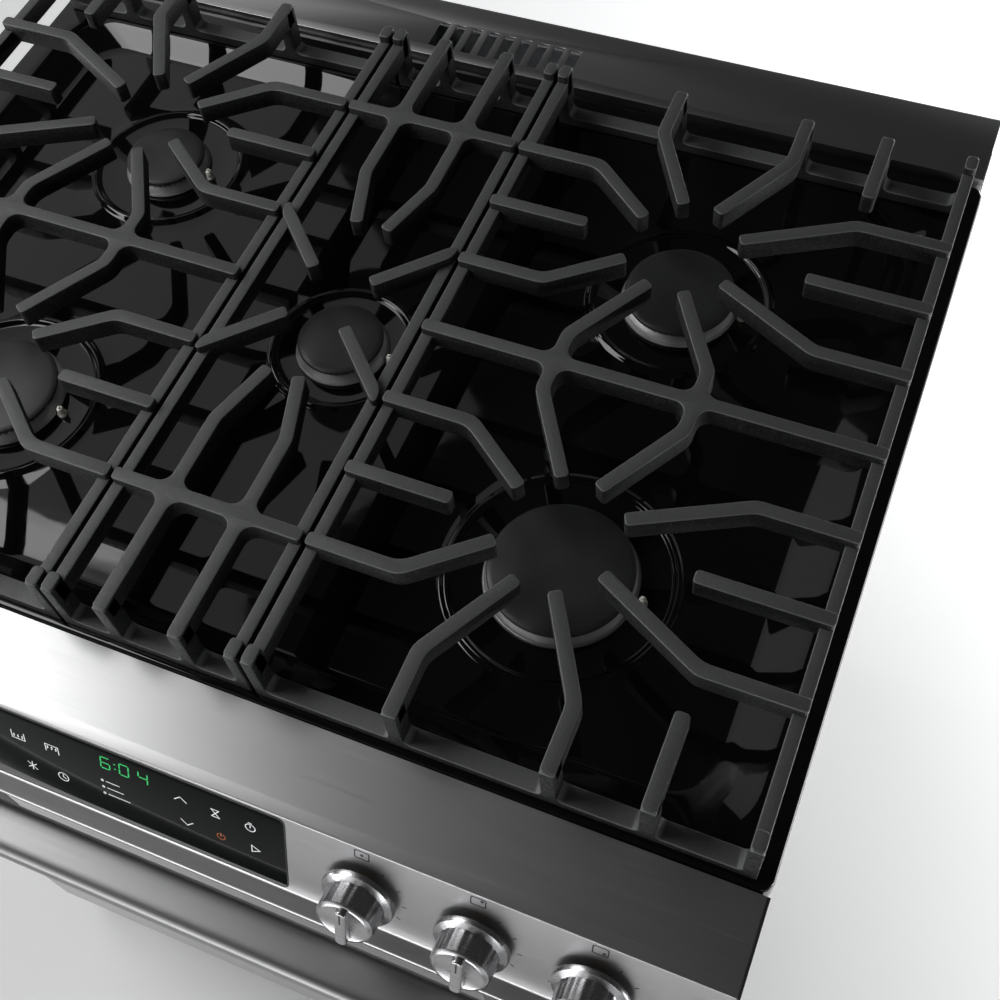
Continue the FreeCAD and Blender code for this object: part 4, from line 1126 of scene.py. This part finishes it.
SEGMENTS = {  # the seven bars of a digit, in half widths and half heights
    "top": ((-1, 1), (1, 1)), "upper_right": ((1, 1), (1, 0)), "lower_right": ((1, 0), (1, -1)),
    "bottom": ((1, -1), (-1, -1)), "lower_left": ((-1, -1), (-1, 0)), "upper_left": ((-1, 0), (-1, 1)),
    "middle": ((-1, 0), (1, 0)),
}
DIGITS = {
    "0": ("top", "upper_right", "lower_right", "bottom", "lower_left", "upper_left"),
    "4": ("upper_left", "upper_right", "middle", "lower_right"),
    "6": ("top", "upper_left", "lower_left", "bottom", "lower_right", "middle"),
}


LEAN = 0.08  # how far the digits lean to the right, as a share of their height


def digit(figure, x, y, half_width, half_height, gap):
    """A seven-bar digit as lines, its bars a little apart."""
    lines = []
    for name in DIGITS[figure]:
        (ax, ay), (bx, by) = SEGMENTS[name]
        start = Vector((ax * half_width, ay * half_height))
        end = Vector((bx * half_width, by * half_height))
        inset = (end - start).normalized() * gap
        start, end = start + inset, end - inset
        lines.append([(x + p.x + LEAN * p.y, y + p.y) for p in (start, end)])
    return lines


def make_clock(face):
    """The clock's lit digits and its colon."""
    clock_y = -16 * MM
    lines = []
    for figure, x in (("6", -3.5), ("0", 9.5), ("4", 22.5)):
        lines += digit(figure, x * MM, clock_y, *mm(3.1, 5.2, 0.9))
    for up in mm(-2.2, 2.2):
        lines.append([(3 * MM, clock_y + up), (3.3 * MM, clock_y + up)])
    piece("clock_digits", strokes(lines, 0.95 * MM, face), "cabinet", "display_glass", material=GREEN_LIGHT)


def shifted(x, down, *drawn):
    """Lines in mm round a point of the glass that is x right of its middle and down from its top."""
    return [[((x + u) * MM, (v - down) * MM) for u, v in line] for line in drawn]


def make_display_marks():
    """The clock and, in place of words, generic icons for the keys."""
    face = GLASS_PROUD + 0.01 * MM
    make_clock(face)
    wave = [(-0.9, -1.2), (-0.3, -0.4), (-0.9, 0.4), (-0.3, 1.2)]
    lines = []
    for x, flip in ((-66.8, 1), (-42.3, -1)):  # lower heat and upper heat
        near, far = -3.2 * flip, 3.2 * flip
        lines += shifted(x, 23.6, [(-4.6, near), (4.6, near)])
        lines += shifted(x, 23.6, [(-4.6, far), (-4.6, near)], [(4.6, far), (4.6, near)])
        for shift in (-2, 1, 4):
            lines += shifted(x + shift, 23.6, [(u - 0.4, v - 0.6 * flip) for u, v in wave])
    # cleaning: a star
    lines += shifted(-61, 49.2, [(-3, -2.4), (3, 2.4)], [(-3, 2.4), (3, -2.4)], [(0, -3.6), (0, 3.6)])
    lines += shifted(-38.2, 48, ring(0, 0, 3.6), [(0, 2.2), (0, 0), (1.7, -0.9)])  # a clock face
    for down, length in ((34.5, 9), (40.7, 11), (46.9, 15)):  # three indicator rows
        lines += shifted(-8.2, down, ring(0, 0, 0.7, count=8))
        lines += shifted(-5.4, down, [(0, 0), (length, 0)])
    lines += shifted(47.2, 21.6, [(-4, -1.9), (0, 1.9), (4, -1.9)])  # up
    lines += shifted(49.8, 43.4, [(-4, 1.9), (0, -1.9), (4, 1.9)])  # down
    lines += shifted(70.7, 22, [(-2.6, 3.4), (2.6, 3.4), (-2.6, -3.4), (2.6, -3.4), (-2.6, 3.4)])  # sandglass
    # cooking time: a watch with a crown
    lines += shifted(93.8, 21.5, ring(0, -0.6, 3.2), [(0, -0.6), (0, 1.4)], [(-1, 3.8), (1, 3.8)])
    lines += shifted(96, 42, [(-2.4, -3), (-2.4, 3), (3, 0), (-2.4, -3)])  # start
    bar = [(-2.6, 0), (2.6, 0)]
    lines += shifted(-95, 22, bar) + shifted(-95, 48, bar)  # a plus and a minus
    lines += shifted(-95, 22, [(0, -2.6), (0, 2.6)])
    piece("key_icons", strokes(lines, 0.66 * MM, face), "cabinet", "display_glass", material=WHITE_INK)

    lines = shifted(72.9, 43, ring(0, 0, 2.6, 125, 415), [(0, 0.6), (0, 3.2)])
    piece("off_icon", strokes(lines, 0.75 * MM, face), "cabinet", "display_glass", material=AMBER_INK)


BURNER_SPOTS = {  # where each burner lies on the small map over its knob
    "left_front": (-1, -1), "left_rear": (-1, 1), "center": (0, 0),
    "right_rear": (1, 1), "right_front": (1, -1),
}


def make_panel_marks():
    """Round each knob's place: a burner map with one burner marked, and a scale of ticks."""
    lines = []
    half_x, half_y, map_y = mm(4.4, 3.4, -6)
    first_tick = 25.5 * MM  # from the knob's axis
    for name in knob_names():
        x = knob_x(name)
        dot_x, dot_y = BURNER_SPOTS[name.removeprefix("knob_")]
        outline = rectangle(x - half_x, x + half_x, map_y - half_y, map_y + half_y, 1.2 * MM)
        lines.append([tuple(point) for point in outline + outline[:1]])
        lines.append(ring(x + dot_x * 2.2 * MM, map_y + dot_y * 1.5 * MM, 0.6 * MM, count=10))
        centre = Vector((x, -KNOB_DOWN))
        for number in range(1, 9):
            angle = math.radians(90 - 30 * number)
            way = Vector((math.cos(angle), math.sin(angle)))
            length = (1.4 + 0.25 * number) * MM
            lines.append([tuple(centre + way * reach) for reach in (first_tick, first_tick + length)])
    piece("panel_marks", strokes(lines, 0.8 * MM, 0.01 * MM), "cabinet", "stainless", material=DARK_INK)


# ---- knobs ----

FLUTES = 20
FLUTE_DEPTH = 0.022  # as a share of the radius


def grip_flutes(angle, height):
    """Shallow finger flutes round the knob's side."""
    if not 5 < height < 18:
        return 1
    return 1 - FLUTE_DEPTH * (0.5 + 0.5 * math.cos(FLUTES * angle))


def make_knobs():
    for name in knob_names():
        place = PANEL @ Matrix.Translation((knob_x(name), -KNOB_DOWN, KNOB_GAP))
        skirt = turned([
            (4.1, 0), (22, 0), (23, 0.8), (23, 2.4), (22.2, 3.6), (19.2, 4.6), (18.4, 5.2), (18.4, 7),
            (17.8, 16), (17.5, 18.4), (16.4, 19.6), (14.8, 20), (13.8, 19.5), (0, 19.2), (0, 14), (4.1, 14),
            (4.1, 0),
        ], 120, grip_flutes)
        blade = slab([rectangle(*mm(-3.6, 3.6, -15.5, 15.5, 3.4))], *mm(17, 24, 1.4), 4)
        piece(f"{name}_turned", moved(joined(skirt, blade), place), name, "knob_metal", [name])
        line = slab([rectangle(*mm(-0.6, 0.6, 5, 14.2, 0.5))], *mm(23.6, 24.05, 0.1))
        piece(f"{name}_pointer", moved(line, place), name, "knob_metal", material=DARK_INK)


# ---- door ----

DOOR_SEAM = -262 * MM
WINDOW = (250 * MM, 360 * MM, 690 * MM)  # half width, bottom and top
ARM_X = 336 * MM


def hinge_slots(nearer, farther):
    """Cutters for the slots that the hinge arms pass through, between two distances from the middle."""
    outlines = [rectangle(x - 7 * MM, x + 7 * MM, *mm(205, 236, 2)) for x in (-ARM_X, ARM_X)]
    return [facing_front(slab([outline], nearer, farther, 0.0)) for outline in outlines]


def box_outline(low, high, inset, radius):
    """A box's outline seen from the front, drawn in on every side."""
    return rectangle(low.x + inset, high.x - inset, low.z + inset, high.z - inset, radius)


def window_outline(inset, radius):
    """The oven window's outline, drawn in on every side."""
    half, bottom, top = WINDOW
    return rectangle(inset - half, half - inset, bottom + inset, top - inset, radius)


def make_door_skin():
    """The door's outer sheet, with its opening for the window, and its side walls."""
    low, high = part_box("oven_door_panel")
    outline = box_outline(low, high, 0, 4 * MM)
    plate = slab([outline, window_outline(0, 9 * MM)], 290.5 * MM, -low.y, 2.4 * MM, 4)
    wall = slab([outline, box_outline(low, high, SHEET, 3 * MM)], -DOOR_SEAM, *mm(292.5, 0.3))
    skin = carved(facing_front(joined(plate, wall)), *hinge_slots(*mm(255, 290.4)))
    piece("oven_door_skin", skin, "oven_door", "stainless", ["oven_door_panel"])


def make_door_window():
    """The outer pane and the black border printed round its inside."""
    pane = window_outline(*mm(0.4, 8.6))
    glass = facing_front(slab([pane], *mm(291, 295.4, 0.6)))
    piece("oven_door_window", glass, "oven_door", "door_glass", ["oven_door_glass"], sharp=50)
    half, bottom, top = WINDOW
    side, ends = mm(38, 34)
    clear = rectangle(side - half, half - side, bottom + ends, top - ends, 12 * MM)
    dots = facing_front(slab([pane, clear], *mm(295.4, 295.45, 0.01)))
    piece("window_border", dots, "oven_door", "door_glass", material=MATERIALS["black_plastic"])


def make_door_liner():
    """The door's enamelled inner sheet: a face and a rim, a raised bead round the window, and screws."""
    low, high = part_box("oven_door_liner")
    outline = box_outline(low, high, 0, 5 * MM)
    face = slab([outline, window_outline(*mm(10, 14))], -high.y, *mm(253.2, 0.9))
    rim = slab([outline, box_outline(low, high, SHEET, 4 * MM)], 253 * MM, -low.y, 0.2 * MM)
    frame = [window_outline(*mm(-34, 22)), window_outline(*mm(-28, 16))]
    bead = slab(frame, -high.y - 1.6 * MM, -high.y + 0.5 * MM, 0.8 * MM, 3)
    parts = [carved(facing_front(part), *hinge_slots(*mm(248, 265))) for part in (face, rim)]
    parts.append(facing_front(bead))
    piece("oven_door_inner_skin", joined(*parts), "oven_door", "oven_enamel", ["oven_door_liner"])
    columns = (low.x + 12 * MM, high.x - 12 * MM)
    spots = [(x, z) for x in columns for z in mm(260, 420, 600, 780)]
    piece("door_liner_screws", screws(spots, high.y), "oven_door", "zinc_steel")


HANDLE_ROUNDNESS = 0.62  # 1 would be an oval, 0 a rectangle


def handle_section(width, height, y, z, x):
    """A soft oval section across the handle, as a ring of points."""
    def softly(value):
        return math.copysign(abs(value) ** HANDLE_ROUNDNESS, value)

    count = 40
    angles = [math.tau * number / count for number in range(count)]
    return [
        (x, y + width / 2 * softly(math.cos(angle)), z + height / 2 * softly(math.sin(angle)))
        for angle in angles
    ]


def make_handle():
    low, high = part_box("oven_door_handle")
    y, z = (low.y + high.y) / 2, (low.z + high.z) / 2
    width, height = high.y - low.y, high.z - low.z
    nose = 9 * MM
    angles = [math.pi / 2 * n / 8 for n in range(8, -1, -1)]
    stations = [
        (high.x - nose * (1 - math.sin(angle)), nose * (1 - math.cos(angle)) * 1.6) for angle in angles
    ]
    stations += [(high.x * share, 0) for share in (0.8, 0.4, 0, -0.4, -0.8)]
    stations += [(-x, less) for x, less in stations[len(angles) - 1::-1]]
    rings = [handle_section(width - less, height - less, y, z, x) for x, less in stations]
    piece("oven_door_handle_bar", loft(rings), "oven_door", "handle_steel", ["oven_door_handle"], sharp=60)
    make_handle_posts(z)


def make_handle_posts(z):
    """Two posts from the handle to the door, flared at both ends."""
    low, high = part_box("handle_mounts")
    start = low.y - 4 * MM
    posts = []
    for x in mm(-328, 328):
        rings = []
        for share, flare in ((0, 2.0), (0.08, 1.0), (0.25, 0.3), (0.6, 0), (0.8, 0.4), (0.93, 1.4), (1, 3.2)):
            reach_x, reach_z = mm(10 + flare, 7.5 + flare)
            depth = start + (high.y - start) * share
            outline = rectangle(x - reach_x, x + reach_x, z - reach_z, z + reach_z, 6 * MM)
            rings.append([(point.x, depth, point.y) for point in outline])
        posts.append(loft(rings))
    piece("handle_posts", joined(*posts), "oven_door", "handle_steel", ["handle_mounts"], sharp=60)


# ---- drawer, sides, back and the rest ----

def screw_head():
    """A hexagonal sheet-metal screw with its washer, standing on z = 0."""
    washer = turned([(0, 0), (4.2, 0), (4.2, 0.5), (3.4, 0.9), (0, 0.9)], 28)
    head = turned([(0, 0.8), (2.9, 0.8), (2.9, 2.0), (2.4, 2.4), (0, 2.5)], 6)
    return joined(washer, head)


def screws(spots, y):
    """Screw heads at (x, z) spots of an upright face, looking to the back."""
    turn = Matrix.Rotation(-math.pi / 2, 4, "X")
    return copied(screw_head(), *[Matrix.Translation((x, y, z)) @ turn for x, z in spots])


def make_drawer():
    """The drawer's front, with a finger rail pressed in along its top."""
    low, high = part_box("storage_drawer_front")
    front, top = low.y, high.z
    rail = [(0, -26), (5, -20), (13, -20), (13, -3), (6, 0)]  # from the front's top edge, in mm
    corners = [(high.y, low.z), (front, low.z)]
    corners += [(front + back * MM, top + up * MM) for back, up in rail]
    path = rounded_loop([*corners, (high.y, top)], mm(0.6, 3, 4, 2, 4, 2, 0.8, 0.6))
    face = softened(prism(path, low.x, high.x), 0.8 * MM, 60)
    piece("storage_drawer_face", face, "storage_drawer", "stainless", ["storage_drawer_front"], sharp=30)


def pressed_sheet(low, high, margin, depth, radius):
    """A sheet in (x, y), its face at z = 0, with a shallow field pressed in, or out by a negative depth."""
    steps = 24
    edge = tile_edge(low, high, steps, steps)
    run = 7 * MM
    levels = [(0.0, 0.0), (margin - 1 * MM, 0.0)]
    levels += [(margin + run * n / 6, -depth * (0.5 - 0.5 * math.cos(math.pi * n / 6))) for n in range(7)]
    levels += [(margin + run + 20 * MM, -depth)]
    rings = []
    for inset, height in levels:
        corner = 2 * MM if inset < margin - 2 * MM else radius
        rings.append(fitted_ring(edge, (low, high), shrunk(low, high, inset), corner, height))
    work = opened(loft(rings, capped=False))
    border = [e for e in work.edges if e.is_boundary and abs(e.verts[0].co.z + depth) < 1e-7]
    bmesh.ops.contextual_create(work, geom=border)
    return thickened(work, SHEET)


def make_sides():
    """Each side: a pressed sheet with its front, rear and top flanges folded in."""
    for side, name in ((-1, "left_side_panel"), (1, "right_side_panel")):
        low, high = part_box(name)
        sheet = pressed_sheet(low.yz, high.yz, *mm(42, -1.2, 18))
        outer, inner = (low.x, high.x) if side < 0 else (high.x, low.x)
        # the sheet's x runs along Y, its y up and its face looks out of the range
        turn = Matrix(((0, 0, side, outer), (1, 0, 0, 0), (0, 1, 0, 0), (0, 0, 0, 1)))
        span = sorted((outer - side * SHEET, inner + side * 0.5 * MM))
        flange = rectangle(*span, low.z + 1 * MM, high.z - 1 * MM, 2 * MM)
        faces = (low.y, high.y - SHEET)
        folds = [facing_front(slab([flange], -face - SHEET, -face, 0.4 * MM)) for face in faces]
        shelf = rectangle(*span, low.y + SHEET, high.y - SHEET, 2 * MM)
        folds.append(slab([shelf], high.z - SHEET, high.z, 0.4 * MM))
        piece(name + "_pressed", joined(moved(sheet, turn), *folds), "cabinet", "side_paint", [name])


def louver(x, z, y, width):
    """A half-round vent scoop that stands out of the back's pressed field."""
    rings = []
    count = 10
    for number in range(count + 1):
        along = 2 * number / count - 1
        swell = math.sqrt(max(0.0, 1 - along ** 4)) + 0.02
        section = ((0, -5), (5 * swell, -4.6), (4.4 * swell, -1), (0, 6 * swell))
        rings.append([(x + along * width / 2, y + out * MM, z + up * MM) for out, up in section])
    return loft(rings)


def make_back():
    """The pressed back sheet with the cord's hole, its louvres and its screws."""
    low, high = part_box("back_panel")
    sheet = pressed_sheet(low.xz, high.xz, *mm(88, 3, 24))
    # its face looks to the wall
    turn = Matrix(((1, 0, 0, 0), (0, 0, 1, high.y), (0, 1, 0, 0), (0, 0, 0, 1)))
    gland_low, gland_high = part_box("cord_gland")
    gland = (gland_low + gland_high) / 2
    hole = slab([circle(gland.x, gland.z, 10.8 * MM)], -high.y - 9 * MM, -high.y + 9 * MM, 0.0)
    mesh = carved(moved(sheet, turn), facing_front(hole))
    piece("back_panel_pressed", mesh, "cabinet", "zinc_steel", ["back_panel"])
    rows = [470 + 22 * n for n in range(8)]
    scoops = [louver(x, z, high.y - 3.1 * MM, 90 * MM) for x in mm(-180, 0, 180) for z in mm(*rows)]
    piece("back_louvers", joined(*scoops), "cabinet", "zinc_steel")
    rows = [190 + 133 * n for n in range(6)]
    spots = [(x, z) for x in mm(-352, 352) for z in mm(*rows)]
    spots += [(x, z) for z in mm(168, 866) for x in mm(-180, 0, 180)]
    piece("back_screws", screws(spots, high.y), "cabinet", "zinc_steel")


def make_legs():
    """Four leveling legs: a ribbed foot, a hexagonal collar and a threaded stud."""
    low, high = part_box("leveling_legs")
    foot = turned([
        (0, 0), (15.6, 0), (17, 0.9), (17, 2.4), (16.2, 2.9), (17, 3.4), (17, 5.2), (15.4, 6.8), (9, 7.4),
        (0, 7.4),
    ], 48)
    collar = turned([(0, 7), (8.2, 7), (9, 8), (9, 15), (8.2, 16), (0, 16)], 6)
    pitch = 1.25
    count = 24
    thread = [(0, 15)]
    for number in range(count):
        thread += [(3.3, 15 + pitch * number), (3.95, 15 + pitch * (number + 0.5))]
    thread.append((0, 15 + pitch * count))
    stud = turned(thread, 24)
    first, last = shrunk(low.xy, high.xy, 17 * MM)
    spots = [(x, y, 0) for x in (first.x, last.x) for y in (first.y, last.y)]
    legs = copied(joined(foot, collar, stud), *[Matrix.Translation(spot) for spot in spots])
    piece("leveling_legs_threaded", legs, "cabinet", "zinc_steel", ["leveling_legs"], sharp=40)


def make_oven_liner():
    """The oven's enamelled box with round corners, its back wall pierced for burners, lamp and flue."""
    low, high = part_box("oven_liner")
    outlines = [box_outline(low, high, 0, 20 * MM), box_outline(low, high, SHEET, 19 * MM)]
    walls = slab(outlines, -high.y, -low.y, 0.2 * MM)
    holes = [circle(*mm(*hole)) for hole in ((0, 262, 12), (0, 722, 12), (-220, 690, 18), (200, 700, 3.5))]
    holes.append(rectangle(*mm(-60, 60, 708, 709.5, 0.4)))
    back_outline = box_outline(low, high, *mm(0.4, 19.5))
    back = slab([back_outline, *holes], -high.y, -high.y + SHEET, 0.2 * MM)
    piece("oven_liner_box", facing_front(joined(walls, back)), "cabinet", "oven_enamel", ["oven_liner"])


def make_floor():
    """A plain pale floor that glows where the softboxes don't reach, but not where the glass mirrors it."""
    reach = 40.0
    corners = [(-reach, -reach), (reach, -reach), (reach, reach), (-reach, reach)]
    mesh = loft([[(*corner, z) for corner in corners] for z in (-0.01, 0)])
    floor = placed("floor", mesh)
    pale = Shader("floor", (0.86, 0.86, 0.86), 0.6)
    cloud = pale.noise(400, 2.0)
    pale.tint(cloud, (0.83, 0.83, 0.83))
    place = new_node(pale.tree, "TexCoord").outputs["Object"]
    away = pale.tree.nodes.new("ShaderNodeVectorMath")
    away.operation = "DISTANCE"
    away.inputs[1].default_value = (-0.6, -1.5, 0.0)  # in front of the range
    pale.tree.links.new(place, away.inputs[0])
    glow = ranged(pale.tree, away.outputs["Value"], 0.0, 0.8, 1.5, 3.6)
    pale.tree.links.new(glow, pale.inputs["Emission Strength"])
    pale.inputs["Emission Color"].default_value = SKY
    mesh.materials.append(pale.material)


make_camera()
make_world()
make_lights()
make_floor()
for grate in ("left_grate", "center_grate", "right_grate"):
    make_grate(grate)
make_cooktop()
make_burners()
make_control_panel()
make_display()
make_display_marks()
make_panel_marks()
make_knobs()
make_door_skin()
make_door_window()
make_door_liner()
make_handle()
make_drawer()
make_sides()
make_back()
make_legs()
make_oven_liner()
for node, slot, width, *body in (  # the width of the rounded edges is in mm
    ("rear_vent_trim", "stainless", 0.5),
    ("front_frame", "black_enamel", 0.4),
    ("base_frame", "zinc_steel", 0.4),
    ("gas_regulator", "burner_alloy", 1.5),
    ("spark_module", "black_plastic", 0.8),
    ("vent_duct", "zinc_steel", 0.4),
    ("oven_floor", "oven_enamel", 0.5),
    ("rack_guides", "chrome_wire", 0.8),
    ("bake_burner", "zinc_steel", 1.0),
    ("broil_burner", "zinc_steel", 1.5),
    ("oven_door_hinges", "zinc_steel", 0.5, "oven_door"),
    ("hinge_arms", "zinc_steel", 0.8),
    ("storage_drawer_box", "zinc_steel", 0.4, "storage_drawer"),
    ("drawer_rails", "zinc_steel", 0.4),
):
    refined(node, slot, width * MM, *body)
for slot, *names in (
    ("glass_wool", "oven_insulation"),
    ("chrome_wire", "oven_rack_upper", "oven_rack_lower", "temperature_probe"),
    ("circuit_board", "display_board"),
    ("zinc_steel", "gas_manifold"),
    ("brass", "burner_valves", *[name for name in nodes if name.startswith("valve_stem_")]),
    ("burner_alloy", "burner_tubes"),
    ("gas_pipe", "supply_pipe"),
    ("ceramic_white", "oven_lamp"),
    ("lamp_glass", "lamp_lens"),
    ("door_glass", "oven_door_inner_glass"),
    ("gasket_braid", "oven_door_gasket"),
    ("black_plastic", "cord_gland"),
):
    finished_as_is(slot, *names)
